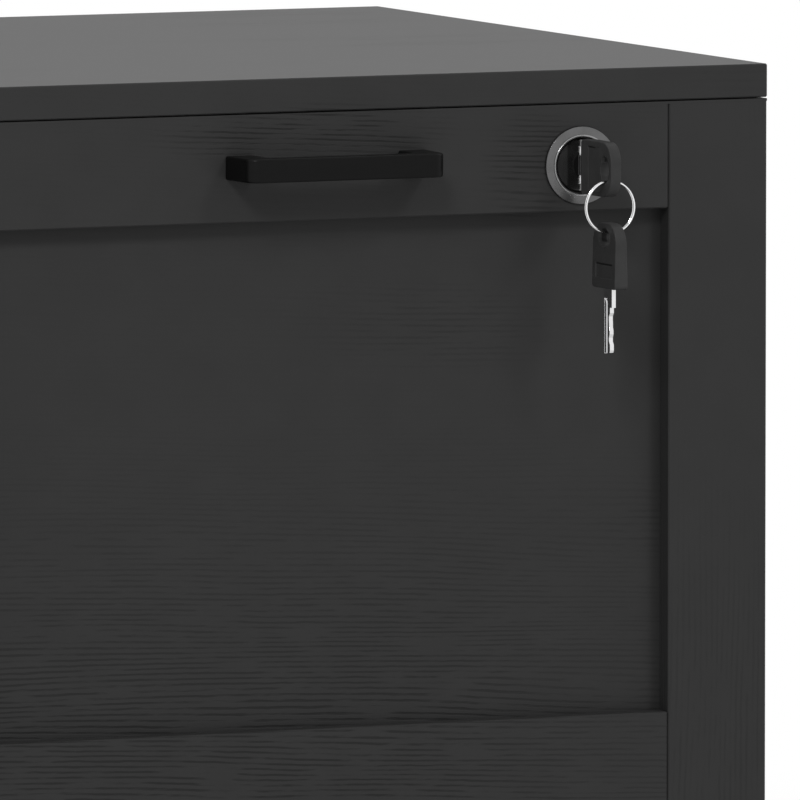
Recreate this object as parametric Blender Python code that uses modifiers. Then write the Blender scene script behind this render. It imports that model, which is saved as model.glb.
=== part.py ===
"""Two-drawer vertical filing cabinet of black wood-grain board, with telescopic slides, a cam lock and two keys.

Lengths are in metres. X runs to the right, Y to the back and Z up. The origin lies on the floor, at the middle
of the box round the cabinet and the keys that hang in front of it.
"""

import math

import bmesh
import bpy
from mathutils import Matrix, Vector

# Cabinet
WIDTH = 0.460
DEPTH = 0.460
HEIGHT = 0.750
BOARD = 0.016
EDGE_ROUND = 0.0006
CLEAR = 0.0003
GLIDE_HEIGHT = 0.006
GLIDE_RADIUS = 0.0075
GLIDE_INSET = 0.030
TOE_HEIGHT = 0.045
BACK_THICKNESS = 0.005
BACK_SETBACK = 0.012
GROOVE_DEPTH = 0.006
PLINTH_SETBACK = 0.035
RAIL_DEPTH = 0.060
TOP_RAIL_SETBACK = 0.024

# Drawer fronts
TOP_REVEAL = 0.001
DRAWER_REVEAL = 0.003
FRONT_SIDE_INSET = 0.00025
FRONT_BOARD = 0.012
FRAME_THICKNESS = 0.010
STILE_WIDTH = 0.0515
FRAME_RAIL_WIDTH = 0.0505
FRONT_GAP = 0.002

# Drawer boxes
BOX_BACK_SPACE = 0.026
BOX_HEADROOM = 0.0575
BOX_RISE = 0.023
BOX_BOARD = 0.012
BOX_BOTTOM = 0.005
BOTTOM_RISE = 0.010
BOX_GROOVE = 0.005
FRONT_GROOVE = 0.004

# Hanging file rails
FILE_RAIL_SPACING = 0.330
FILE_RAIL_HEIGHT = 0.014
FILE_RAIL_THICKNESS = 0.003
FILE_RAIL_HOOK = 0.012
FILE_RAIL_FOOT_WIDTH = 0.018
FILE_RAIL_FOOT = 0.002

# Telescopic slides
SLIDE_BACK_SPACE = 0.017
SLIDE_HEIGHT = 0.045
SLIDE_WIDTH = 0.0127
SLIDE_STEEL = 0.0012
SLIDE_PLAY = 0.0004
SLIDE_LIP = 0.0024
SLIDE_BEND = 0.0020
SLIDE_RISE = 0.090
SLIDE_SETBACK = 0.002
SLIDE_SHORTER = 0.010
SLIDE_HOLE = 0.0023
SLIDE_ACCESS_HOLE = 0.0050
SLIDE_HOLE_INSET = 0.035

# Bar handles
HANDLE_SPACING = 0.0889
HANDLE_LEG = 0.0147
HANDLE_HEIGHT = 0.0113
HANDLE_REACH = 0.026
HANDLE_BAR = 0.0085
HANDLE_CORNER = 0.006
HANDLE_INNER_CORNER = 0.003
HANDLE_TAPER = 0.001
HANDLE_EDGE = 0.0009
HANDLE_DROP = 0.0244
HANDLE_SCREW = 0.0022
HANDLE_BORE = 0.0120

# Cam lock
LOCK_FROM_RIGHT = 0.0982
LOCK_DROP = 0.0286
DIAL_RADIUS = 0.0130
DIAL_GAP = 0.0007
DIAL_HEIGHT = 0.0003
DIAL_EDGE = 0.0009
DIAL_THICKNESS = 0.0014
GRIP_LENGTH = 0.0140
GRIP_WIDTH = 0.0082
GRIP_HEIGHT = 0.0010
KEYWAY_LENGTH = 0.0180
COLLAR_WALL = 0.0009
FLANGE_WIDTH = 0.0019
FLANGE_THICKNESS = 0.0008
TRIM_STEP = 0.0011
TRIM_STEP_HEIGHT = 0.0024
TRIM_LIP = 0.0010
TRIM_BAND = 0.0026
TRIM_EDGE = 0.0006
TRIM_HEIGHT = 0.0030
TRIM_ROUND = 0.0002
BARREL_RADIUS = 0.0110
PLUG_RADIUS = 0.0090
NUT_ACROSS = 0.0270
NUT_THICKNESS = 0.0040
CAM_THICKNESS = 0.0020
CAM_REACH = 0.0265
CAM_WIDTH = 0.0120
CAM_SPACE = 0.0062
TAIL_SIDE = 0.0065
CAM_SCREW_RADIUS = 0.0055
CAM_SCREW_HEAD = 0.0024
CAM_SCREW_SHANK = 0.0020
CAM_SCREW_LENGTH = 0.0055
STRIKE_STEEL = 0.0015
STRIKE_WIDTH = 0.036
STRIKE_DEPTH = 0.018
STRIKE_LIP = 0.0097
STRIKE_PLAY = 0.0007

# Keys
KEY_HEAD_LENGTH = 0.031
KEY_HEAD_WIDTH = 0.026
KEY_HEAD_THICKNESS = 0.0069
KEY_HEAD_CORNER = 0.0035
KEY_HEAD_EDGE = 0.0009
KEY_HEAD_TAPER = 0.0015
KEY_HOLE_LENGTH = 0.0130
KEY_HOLE_WIDTH = 0.0068
KEY_HOLE_WALL = 0.0036
KEY_LABEL_INSET = 0.0045
KEY_LABEL_LENGTH = 0.0076
KEY_LABEL_WIDTH = 0.0186
KEY_LABEL_DEPTH = 0.0004
KEY_STEEL = 0.0021
KEY_SHOULDER_WIDTH = 0.0094
KEY_SHOULDER_LENGTH = 0.0091
KEY_TANG_WIDTH = 0.0084
KEY_TANG_LENGTH = 0.0120
KEY_BLADE_WIDTH = 0.0074
KEY_BLADE_LENGTH = 0.0223
KEY_TIP = 0.0020
KEY_CUTS = (0.0001, 0.0013, 0.0011, 0.0005, 0.0012, 0.0001)
KEY_GROOVE_WIDTH = 0.0036
KEY_GROOVE_DEPTH = 0.0010
KEY_GROOVE_RIM = 0.0012
KEY_GROOVE_START = 0.0042

# Split ring
RING_RADIUS = 0.0123
RING_WIRE = 0.0009
RING_PITCH = 0.00135
RING_TURNS = 2
RING_POINTS = 24
RING_PLAY = 0.0004
RING_START = -math.pi / 2

# Places that follow from the sizes above
FRONT_THICKNESS = FRAME_THICKNESS + FRONT_BOARD
BACK_SPACE = BACK_SETBACK + BACK_THICKNESS
UNDER_TOP = HEIGHT - BOARD
FRONT_HEIGHT = (UNDER_TOP - TOP_REVEAL - DRAWER_REVEAL - TOE_HEIGHT) / 2
BOX_HEIGHT = FRONT_HEIGHT - BOX_RISE - BOX_HEADROOM
BOX_LENGTH = DEPTH - FRONT_THICKNESS - BACK_SPACE - BOX_BACK_SPACE
SLIDE_LENGTH = DEPTH - FRONT_THICKNESS - FRONT_GAP - SLIDE_SETBACK - BACK_SPACE - SLIDE_BACK_SPACE
DIAL_BORE = DIAL_RADIUS + DIAL_GAP
COLLAR_RADIUS = DIAL_BORE + COLLAR_WALL
FLANGE_RADIUS = COLLAR_RADIUS + FLANGE_WIDTH
DIAL_BACK = DIAL_HEIGHT - DIAL_THICKNESS
KEY_SEAT = DIAL_HEIGHT
KEY_BACK = KEY_SHOULDER_WIDTH / 2
KEY_CREST = KEY_BACK - KEY_BLADE_WIDTH
KEY_HEAD_START = KEY_SEAT + KEY_SHOULDER_LENGTH
RING_REACH = KEY_HEAD_START + KEY_HEAD_LENGTH - KEY_HOLE_WALL - KEY_HOLE_WIDTH / 2
FRONT_REACH = RING_REACH + KEY_HEAD_WIDTH / 2
HOLE_TAPER = KEY_HEAD_TAPER * (1 - (KEY_HOLE_WALL + KEY_HOLE_WIDTH / 2) / KEY_HEAD_LENGTH)
KEY_HOLE_DEPTH = KEY_HEAD_THICKNESS - HOLE_TAPER
FRONT_Y = (FRONT_REACH - DEPTH) / 2
BACK_Y = FRONT_Y + DEPTH
FRONT_INNER_Y = FRONT_Y + FRONT_THICKNESS
CARCASS_Y = FRONT_INNER_Y + FRONT_GAP
INNER_HALF = WIDTH / 2 - BOARD
BOX_HALF = INNER_HALF - SLIDE_WIDTH - 2 * CLEAR
FRONT_HALF = WIDTH / 2 - FRONT_SIDE_INSET
UPPER_Z = UNDER_TOP - TOP_REVEAL - FRONT_HEIGHT
LOWER_Z = UPPER_Z - DRAWER_REVEAL - FRONT_HEIGHT
BACK_PANEL_Y = BACK_Y - BACK_SPACE
LOCK_X = WIDTH / 2 - LOCK_FROM_RIGHT
LOCK_Z = UPPER_Z + FRONT_HEIGHT - LOCK_DROP
CAM_Y = FRONT_INNER_Y + CAM_SPACE
RING_Y = FRONT_Y - RING_REACH


def clear_scene():
    for obj in list(bpy.data.objects):
        bpy.data.objects.remove(obj, do_unlink=True)


def new_collection(name):
    collection = bpy.data.collections.new(name)
    bpy.context.scene.collection.children.link(collection)
    return collection


def new_finish(name, colour, roughness, metallic=0.0):
    material = bpy.data.materials.new(name)
    material.use_nodes = True
    shader = material.node_tree.nodes["Principled BSDF"]
    shader.inputs["Base Color"].default_value = (*colour, 1.0)
    shader.inputs["Roughness"].default_value = roughness
    shader.inputs["Metallic"].default_value = metallic
    return material


clear_scene()
PARTS = new_collection("filing_cabinet")
CUTTERS = new_collection("cutters")
BLACK_BOARD = new_finish("black_board", (0.035, 0.035, 0.037), 0.55)
BACK_BOARD = new_finish("back_board", (0.05, 0.05, 0.052), 0.7)
BOX_WOOD = new_finish("drawer_box_board", (0.06, 0.06, 0.062), 0.6)
BLACK_METAL = new_finish("black_metal", (0.02, 0.02, 0.021), 0.4, 0.6)
CHROME = new_finish("chrome", (0.75, 0.75, 0.76), 0.2, 1.0)
ZINC_STEEL = new_finish("zinc_steel", (0.6, 0.61, 0.62), 0.35, 1.0)
BLACK_PLASTIC = new_finish("black_plastic", (0.03, 0.03, 0.03), 0.45)


def move_to(obj, collection):
    for old in list(obj.users_collection):
        old.objects.unlink(obj)
    collection.objects.link(obj)


def frame_empty(name, location, parent=None):
    """An empty that carries one moving body and lies on its joint."""
    empty = bpy.data.objects.new(name, None)
    PARTS.objects.link(empty)
    empty.empty_display_size = 0.02
    empty.location = location
    if parent:
        empty.parent = parent
        empty.location = [own - up for own, up in zip(location, parent["at"])]
    empty["at"] = location
    return empty


def finish_part(obj, name, finish, parent):
    """Names a piece and hangs it on its body's empty, where it already stands."""
    obj.name = name
    obj.data.name = name
    obj.data.materials.clear()
    obj.data.materials.append(finish)
    move_to(obj, PARTS)
    obj.parent = parent
    obj.location = [own - up for own, up in zip(obj.location, parent["at"])]
    return obj


def box(low, high):
    bpy.ops.mesh.primitive_cube_add(size=1, location=[(a + b) / 2 for a, b in zip(low, high)])
    obj = bpy.context.object
    obj.scale = [b - a for a, b in zip(low, high)]
    bpy.ops.object.transform_apply(location=False, rotation=False, scale=True)
    return obj


def cylinder_along_y(centre, radius, start, end, sides):
    bpy.ops.mesh.primitive_cylinder_add(
        vertices=sides,
        radius=radius,
        depth=end - start,
        location=(centre[0], (start + end) / 2, centre[1]),
        rotation=(math.pi / 2, 0, 0),
    )
    return bpy.context.object


def round_edges(obj, width, segments=1, angle=math.radians(35)):
    bevel = obj.modifiers.new("rounded_edges", "BEVEL")
    bevel.width = width
    bevel.segments = segments
    bevel.limit_method = "ANGLE"
    bevel.angle_limit = angle


def combine(target, tool, operation):
    """Cuts a helper from a piece, or joins it on, with both still as they stand in the cabinet."""
    move_to(tool, CUTTERS)
    tool.name = f"{target.name}_{operation.lower()}"
    tool.hide_render = True
    tool.display_type = "WIRE"
    boolean = target.modifiers.new(operation.lower(), "BOOLEAN")
    boolean.operation = operation
    boolean.solver = "EXACT"
    boolean.object = tool


def cut(target, tool):
    combine(target, tool, "DIFFERENCE")


def join(target, tool):
    combine(target, tool, "UNION")


def board(name, low, high, finish, parent):
    obj = finish_part(box(low, high), name, finish, parent)
    round_edges(obj, EDGE_ROUND)
    return obj


def extruded(points, thickness, location, rotation):
    """A flat outline with its caps welded on, centred on its location across its thickness."""
    curve = bpy.data.curves.new("outline", "CURVE")
    curve.dimensions = "2D"
    curve.fill_mode = "BOTH"
    curve.extrude = thickness / 2
    spline = curve.splines.new("POLY")
    spline.points.add(len(points) - 1)
    for point, (x, y) in zip(spline.points, points):
        point.co = (x, y, 0, 1)
    spline.use_cyclic_u = True
    flat = bpy.data.objects.new("outline", curve)
    bpy.context.scene.collection.objects.link(flat)
    graph = bpy.context.evaluated_depsgraph_get()
    mesh = bpy.data.meshes.new_from_object(flat.evaluated_get(graph))
    bpy.data.objects.remove(flat, do_unlink=True)
    shape = bmesh.new()
    shape.from_mesh(mesh)
    bmesh.ops.remove_doubles(shape, verts=shape.verts, dist=1e-6)
    bmesh.ops.recalc_face_normals(shape, faces=shape.faces)
    shape.to_mesh(mesh)
    shape.free()
    obj = bpy.data.objects.new("outline", mesh)
    bpy.context.scene.collection.objects.link(obj)
    obj.location = location
    obj.rotation_euler = rotation
    return obj


ACROSS_FRONT = (math.pi / 2, 0, 0)
ACROSS_SIDE = (math.pi / 2, 0, math.pi / 2)
HANGING = (0, math.pi / 2, 0)


def cylinder_along_x(y, z, radius, start, end, sides):
    bpy.ops.mesh.primitive_cylinder_add(
        vertices=sides,
        radius=radius,
        depth=end - start,
        location=((start + end) / 2, y, z),
        rotation=(0, math.pi / 2, 0),
    )
    return bpy.context.object


def filleted(corners, radii, steps=3):
    """An outline of square corners, each turned into an arc of its own radius."""
    points = []
    for index, (corner, radius) in enumerate(zip(corners, radii)):
        corner = Vector(corner)
        before = (Vector(corners[index - 1]) - corner).normalized() * radius
        after = (Vector(corners[(index + 1) % len(corners)]) - corner).normalized() * radius
        centre = corner + before + after
        for step in range(steps + 1 if radius else 1):
            angle = math.pi / 2 * step / steps
            points.append(tuple(centre - after * math.cos(angle) - before * math.sin(angle)))
    return points


def arc(centre, radius, start, end, steps):
    angles = [start + (end - start) * step / steps for step in range(steps + 1)]
    return [(centre[0] + radius * math.cos(a), centre[1] + radius * math.sin(a)) for a in angles]


def turned(profile, location, rotation, steps, closed_ring):
    """A profile of radius and height turned about its own Z axis."""
    mesh = bpy.data.meshes.new("turned")
    links = [(i, i + 1) for i in range(len(profile) - 1)]
    if closed_ring:
        links.append((len(profile) - 1, 0))
    mesh.from_pydata([(radius, 0, height) for radius, height in profile], links, [])
    obj = bpy.data.objects.new("turned", mesh)
    bpy.context.scene.collection.objects.link(obj)
    obj.location = location
    obj.rotation_euler = rotation
    screw = obj.modifiers.new("turn", "SCREW")
    screw.axis = "Z"
    screw.steps = steps
    screw.render_steps = steps
    screw.use_merge_vertices = True
    screw.merge_threshold = 1e-6
    screw.use_smooth_shade = True
    return obj


def make_carcass(cabinet):
    board(
        "top_panel",
        (-WIDTH / 2, FRONT_Y, UNDER_TOP),
        (WIDTH / 2, BACK_Y, HEIGHT),
        BLACK_BOARD,
        cabinet,
    )
    floor_z = GLIDE_HEIGHT + CLEAR
    under_z = UNDER_TOP - CLEAR
    rail_half = INNER_HALF - CLEAR
    bottom_z = LOWER_Z + DRAWER_REVEAL
    back_low = (-INNER_HALF - GROOVE_DEPTH + CLEAR, BACK_PANEL_Y, bottom_z)
    back_high = (INNER_HALF + GROOVE_DEPTH - CLEAR, BACK_PANEL_Y + BACK_THICKNESS, under_z)
    for name, side in (("left", -1), ("right", 1)):
        faces = sorted((side * INNER_HALF, side * FRONT_HALF))
        panel = board(
            f"{name}_side_panel",
            (faces[0], CARCASS_Y, floor_z),
            (faces[1], BACK_Y, under_z),
            BLACK_BOARD,
            cabinet,
        )
        groove = sorted((side * (INNER_HALF - GROOVE_DEPTH), side * (INNER_HALF + GROOVE_DEPTH)))
        cut(
            panel,
            box(
                (groove[0], back_low[1] - CLEAR, 0),
                (groove[1], back_high[1] + CLEAR, HEIGHT),
            ),
        )
    board("back_panel", back_low, back_high, BACK_BOARD, cabinet)
    board(
        "bottom_panel",
        (-rail_half, CARCASS_Y, bottom_z),
        (rail_half, BACK_PANEL_Y - CLEAR, bottom_z + BOARD),
        BLACK_BOARD,
        cabinet,
    )
    rail_y = CARCASS_Y + TOP_RAIL_SETBACK
    board(
        "front_top_rail",
        (-rail_half, rail_y, under_z - BOARD),
        (rail_half, rail_y + RAIL_DEPTH, under_z),
        BLACK_BOARD,
        cabinet,
    )
    middle_z = UPPER_Z - (DRAWER_REVEAL + BOARD) / 2
    board(
        "middle_rail",
        (-rail_half, CARCASS_Y, middle_z),
        (rail_half, CARCASS_Y + RAIL_DEPTH, middle_z + BOARD),
        BLACK_BOARD,
        cabinet,
    )
    board(
        "plinth_board",
        (-rail_half, CARCASS_Y + PLINTH_SETBACK, floor_z),
        (rail_half, CARCASS_Y + PLINTH_SETBACK + BOARD, bottom_z - CLEAR),
        BLACK_BOARD,
        cabinet,
    )


def make_glides(cabinet):
    foot = GLIDE_RADIUS - GLIDE_HEIGHT / 4
    profile = [
        (0, GLIDE_HEIGHT),
        (GLIDE_RADIUS, GLIDE_HEIGHT),
        (GLIDE_RADIUS, GLIDE_HEIGHT / 3),
        (foot, 0),
        (0, 0),
    ]
    glide_x = WIDTH / 2 - BOARD / 2
    for row, y in (("front", CARCASS_Y + GLIDE_INSET), ("rear", BACK_Y - GLIDE_INSET)):
        for name, x in (("left", -glide_x), ("right", glide_x)):
            glide = turned(profile, (x, y, 0), (0, 0, 0), 16, False)
            finish_part(glide, f"{row}_{name}_glide", BLACK_PLASTIC, cabinet)


def slide_profile(web, reach, half, lip, bend):
    """Half height and reach give a C of sheet steel, whose lips turn in (positive) or out (negative).

    Its bends have the given radius inside and one steel thickness more outside."""
    inner = half - SLIDE_STEEL
    tip = reach - math.copysign(SLIDE_STEEL, reach - web)
    far = web + math.copysign(SLIDE_STEEL, reach - web)
    upper = [(web, half), (reach, half), (reach, inner - lip), (tip, inner - lip), (tip, inner), (far, inner)]
    if lip < 0:
        upper = [(web, half), (tip, half), (tip, half - lip), (reach, half - lip), (reach, inner), (far, inner)]
    crown = bend + SLIDE_STEEL
    radii = [crown, crown, 0, 0, bend, bend] if lip > 0 else [crown, bend, 0, 0, crown, bend]
    corners = upper + [(x, -z) for x, z in reversed(upper)]
    return filleted(corners, radii + radii[::-1])


def slide_sections():
    """The three nested steel sections, measured from the side panel towards the drawer."""
    outer_half = SLIDE_HEIGHT / 2
    outer_web = CLEAR
    outer_reach = SLIDE_WIDTH * 0.8
    mid_half = outer_half - SLIDE_STEEL - SLIDE_PLAY
    mid_web = outer_web + SLIDE_STEEL + SLIDE_PLAY
    mid_reach = outer_reach - SLIDE_STEEL - SLIDE_PLAY
    inner_lip_half = mid_half - SLIDE_STEEL - SLIDE_PLAY
    inner_half = inner_lip_half - SLIDE_LIP - SLIDE_PLAY
    inner_web = SLIDE_WIDTH
    inner_reach = mid_web + SLIDE_STEEL + SLIDE_PLAY
    return {
        "outer": slide_profile(outer_web, outer_reach, outer_half, SLIDE_LIP, SLIDE_BEND),
        "mid": slide_profile(mid_web, mid_reach, mid_half, SLIDE_LIP, SLIDE_PLAY),
        "inner": slide_profile(inner_web, inner_reach, inner_half, inner_half - inner_lip_half, SLIDE_PLAY),
    }


def make_slide(member, prefix, side, base_z, length, parent):
    points = slide_sections()[member]
    if side == "left":
        points = [(x - INNER_HALF, z) for x, z in points]
    else:
        points = [(INNER_HALF - x, z) for x, z in points]
    front = CARCASS_Y + SLIDE_SETBACK
    height = base_z + BOX_RISE + SLIDE_RISE
    section = extruded(points, length, (0, front + length / 2, height), ACROSS_FRONT)
    finish_part(section, f"{prefix}_{side}_slide_{member}", ZINC_STEEL, parent)
    radius = SLIDE_ACCESS_HOLE if member == "mid" else SLIDE_HOLE
    across = [x for x, z in points]
    for y in (front + SLIDE_HOLE_INSET, front + length / 2, front + length - SLIDE_HOLE_INSET):
        cut(section, cylinder_along_x(y, height, radius, min(across) - radius, max(across) + radius, 16))


def make_front(prefix, base_z, drawer):
    top_z = base_z + FRONT_HEIGHT
    frame_back = FRONT_Y + FRAME_THICKNESS - CLEAR
    rail_half = FRONT_HALF - STILE_WIDTH - CLEAR
    front = board(
        f"{prefix}_front_board",
        (-FRONT_HALF, FRONT_Y + FRAME_THICKNESS, base_z),
        (FRONT_HALF, FRONT_INNER_Y, top_z),
        BLACK_BOARD,
        drawer,
    )
    groove_z = base_z + BOX_RISE + BOTTOM_RISE
    groove_half = BOX_HALF - BOX_BOARD + BOX_GROOVE
    cut(
        front,
        box(
            (-groove_half, FRONT_INNER_Y - FRONT_GROOVE, groove_z - CLEAR),
            (groove_half, FRONT_INNER_Y + FRONT_GROOVE, groove_z + BOX_BOTTOM + CLEAR),
        ),
    )
    for name, side in (("left", -1), ("right", 1)):
        across = sorted((side * (FRONT_HALF - STILE_WIDTH), side * FRONT_HALF))
        board(
            f"{prefix}_{name}_stile",
            (across[0], FRONT_Y, base_z),
            (across[1], frame_back, top_z),
            BLACK_BOARD,
            drawer,
        )
    board(
        f"{prefix}_bottom_frame_rail",
        (-rail_half, FRONT_Y, base_z),
        (rail_half, frame_back, base_z + FRAME_RAIL_WIDTH),
        BLACK_BOARD,
        drawer,
    )
    top_rail = board(
        f"{prefix}_top_frame_rail",
        (-rail_half, FRONT_Y, top_z - FRAME_RAIL_WIDTH),
        (rail_half, frame_back, top_z),
        BLACK_BOARD,
        drawer,
    )
    return front, top_rail


def make_box(prefix, base_z, drawer):
    low_z = base_z + BOX_RISE
    high_z = low_z + BOX_HEIGHT
    start = FRONT_INNER_Y + CLEAR
    end = start + BOX_LENGTH
    inner = BOX_HALF - BOX_BOARD
    bottom_z = low_z + BOTTOM_RISE
    groove_low = bottom_z - CLEAR
    groove_high = bottom_z + BOX_BOTTOM + CLEAR
    groove_half = inner + BOX_GROOVE
    groove_end = end - BOX_BOARD + BOX_GROOVE
    for name, side in (("left", -1), ("right", 1)):
        across = sorted((side * inner, side * BOX_HALF))
        panel = board(
            f"{prefix}_{name}_box_side",
            (across[0], start, low_z),
            (across[1], end, high_z),
            BOX_WOOD,
            drawer,
        )
        groove = sorted((side * (inner - BOX_GROOVE), side * groove_half))
        cut(panel, box((groove[0], FRONT_Y, groove_low), (groove[1], groove_end, groove_high)))
    back = board(
        f"{prefix}_box_back",
        (-inner + CLEAR, end - BOX_BOARD, low_z),
        (inner - CLEAR, end, high_z),
        BOX_WOOD,
        drawer,
    )
    cut(back, box((-BOX_HALF, start, groove_low), (BOX_HALF, groove_end, groove_high)))
    board(
        f"{prefix}_box_bottom",
        (-groove_half + CLEAR, FRONT_INNER_Y - FRONT_GROOVE + CLEAR, bottom_z),
        (groove_half - CLEAR, groove_end - CLEAR, bottom_z + BOX_BOTTOM),
        BOX_WOOD,
        drawer,
    )


def make_file_rails(prefix, base_z, drawer):
    """Flat steel bars that hook over the box's back and stand on a foot plate at the front."""
    low = base_z + BOX_RISE + BOX_HEIGHT + CLEAR
    high = low + FILE_RAIL_HEIGHT
    start = FRONT_INNER_Y + CLEAR
    hook = start + BOX_LENGTH + CLEAR
    tail = hook + FILE_RAIL_THICKNESS
    outline = [
        (start, low),
        (hook, low),
        (hook, low - FILE_RAIL_HOOK),
        (tail, low - FILE_RAIL_HOOK),
        (tail, high),
        (start, high),
    ]
    half_foot = FILE_RAIL_FOOT_WIDTH / 2
    for name, x in (("left", -FILE_RAIL_SPACING / 2), ("right", FILE_RAIL_SPACING / 2)):
        rail = extruded(outline, FILE_RAIL_THICKNESS, (x, 0, 0), ACROSS_SIDE)
        finish_part(rail, f"{prefix}_{name}_file_rail", ZINC_STEEL, drawer)
        foot_low = (x - half_foot, start, low - FILE_RAIL_HOOK)
        join(rail, box(foot_low, (x + half_foot, start + FILE_RAIL_FOOT, high)))


def handle_outline():
    """Seen from above: two legs on the front and the bar between them, with its outer corners rounded."""
    half = (HANDLE_SPACING + HANDLE_LEG) / 2
    inner = (HANDLE_SPACING - HANDLE_LEG) / 2
    reach = -HANDLE_REACH
    bar_back = reach + HANDLE_BAR
    tip = half - HANDLE_TAPER
    corner = (tip - HANDLE_CORNER, reach + HANDLE_CORNER)
    fillet = (inner - HANDLE_INNER_CORNER, bar_back + HANDLE_INNER_CORNER)
    right = [(half, -CLEAR)]
    right += arc(corner, HANDLE_CORNER, 0, -math.pi / 2, 6)
    inside = arc(fillet, HANDLE_INNER_CORNER, -math.pi / 2, 0, 4)
    inside.append((inner, -CLEAR))
    left = [(-x, y) for x, y in reversed(right)]
    return right + left + [(-x, y) for x, y in reversed(inside)] + inside


def make_handle(prefix, base_z, drawer, front, top_rail):
    """The pull, with a blind bore in each leg and a screw hole behind it through the drawer front."""
    height = base_z + FRONT_HEIGHT - HANDLE_DROP
    handle = extruded(handle_outline(), HANDLE_HEIGHT, (0, FRONT_Y, height), (0, 0, 0))
    finish_part(handle, f"{prefix}_handle", BLACK_METAL, drawer)
    round_edges(handle, HANDLE_EDGE, 2)
    behind = FRONT_INNER_Y + HANDLE_SCREW
    for x in (-HANDLE_SPACING / 2, HANDLE_SPACING / 2):
        cut(handle, cylinder_along_y((x, height), HANDLE_SCREW, FRONT_Y - HANDLE_BORE, behind, 12))
        for piece in (front, top_rail):
            cut(piece, cylinder_along_y((x, height), HANDLE_SCREW + CLEAR, FRONT_Y - HANDLE_BORE, behind, 12))


def make_drawer(prefix, base_z, cabinet):
    """One drawer with its slides. The three sections of a slide belong to the cabinet, to a body of their own
    that moves half as far, and to the drawer."""
    rest = (0, FRONT_Y, base_z)
    drawer = frame_empty(f"{prefix}_drawer", rest, cabinet)
    middle = frame_empty(f"{prefix}_slide_middle", rest, cabinet)
    front, top_rail = make_front(prefix, base_z, drawer)
    make_box(prefix, base_z, drawer)
    make_file_rails(prefix, base_z, drawer)
    make_handle(prefix, base_z, drawer, front, top_rail)
    for side in ("left", "right"):
        make_slide("outer", prefix, side, base_z, SLIDE_LENGTH, cabinet)
        make_slide("mid", prefix, side, base_z, SLIDE_LENGTH - SLIDE_SHORTER, middle)
        make_slide("inner", prefix, side, base_z, SLIDE_LENGTH - SLIDE_SHORTER, drawer)
    return drawer, front, top_rail


def lock_turned(name, profile, finish, parent, closed_ring, steps=32):
    """A turned lock piece, whose heights count outwards from the drawer front."""
    obj = turned(profile, (LOCK_X, FRONT_Y, LOCK_Z), ACROSS_FRONT, steps, closed_ring)
    return finish_part(obj, name, finish, parent)


def make_lock_body(drawer, front, top_rail):
    """The housing's collar fills the frame rail and its barrel goes on through the front board to the nut.

    The trim ring covers its flange, with a sloping band outside and a step down to the dial inside."""
    hole = BARREL_RADIUS + CLEAR
    for piece, radius in ((front, hole), (top_rail, COLLAR_RADIUS + CLEAR)):
        cut(piece, cylinder_along_y((LOCK_X, LOCK_Z), radius, FRONT_Y - hole, FRONT_INNER_Y + hole, 32))
    flange_top = CLEAR + FLANGE_THICKNESS
    seat = flange_top + CLEAR
    bore = DIAL_BORE + CLEAR
    step = bore + TRIM_STEP
    ridge = step + TRIM_LIP
    rim = ridge + TRIM_BAND
    trim = [
        (rim, CLEAR),
        (FLANGE_RADIUS + CLEAR, CLEAR),
        (FLANGE_RADIUS + CLEAR, seat),
        (bore, seat),
        (bore, TRIM_STEP_HEIGHT),
        (step, TRIM_STEP_HEIGHT),
        (ridge - TRIM_ROUND, TRIM_HEIGHT),
        (ridge + TRIM_ROUND, TRIM_HEIGHT),
        (rim, CLEAR + TRIM_EDGE),
    ]
    lock_turned("lock_trim_ring", trim, CHROME, drawer, True, 48)
    nut_end = -FRONT_THICKNESS - CLEAR - NUT_THICKNESS
    collar_end = CLEAR - FRAME_THICKNESS
    barrel = [
        (FLANGE_RADIUS, flange_top),
        (FLANGE_RADIUS, CLEAR),
        (COLLAR_RADIUS, CLEAR),
        (COLLAR_RADIUS, collar_end),
        (BARREL_RADIUS, collar_end),
        (BARREL_RADIUS, nut_end - CLEAR),
        (PLUG_RADIUS + CLEAR, nut_end - CLEAR),
        (PLUG_RADIUS + CLEAR, DIAL_BACK - CLEAR),
        (DIAL_BORE, DIAL_BACK - CLEAR),
        (DIAL_BORE, flange_top),
    ]
    lock_turned("lock_housing", barrel, CHROME, drawer, True)
    corner = NUT_ACROSS / 2 / math.cos(math.pi / 6)
    hexagon = arc((0, 0), corner, 0, 5 * math.pi / 3, 5)
    nut_y = FRONT_INNER_Y + CLEAR + NUT_THICKNESS / 2
    nut = extruded(hexagon, NUT_THICKNESS, (LOCK_X, nut_y, LOCK_Z), ACROSS_FRONT)
    finish_part(nut, "lock_nut", ZINC_STEEL, drawer)
    cut(nut, cylinder_along_y((LOCK_X, LOCK_Z), hole, FRONT_Y, CAM_Y + hole, 32))


def grip_outline():
    """The raised lens round the keyway: two arcs that meet above and below it."""
    radius = (GRIP_LENGTH**2 + GRIP_WIDTH**2) / (4 * GRIP_WIDTH)
    centre = radius - GRIP_WIDTH / 2
    spread = math.asin(GRIP_LENGTH / 2 / radius)
    right = arc((-centre, 0), radius, -spread, spread, 8)
    left = arc((centre, 0), radius, math.pi - spread, math.pi + spread, 8)
    return right + left[1:-1]


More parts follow.
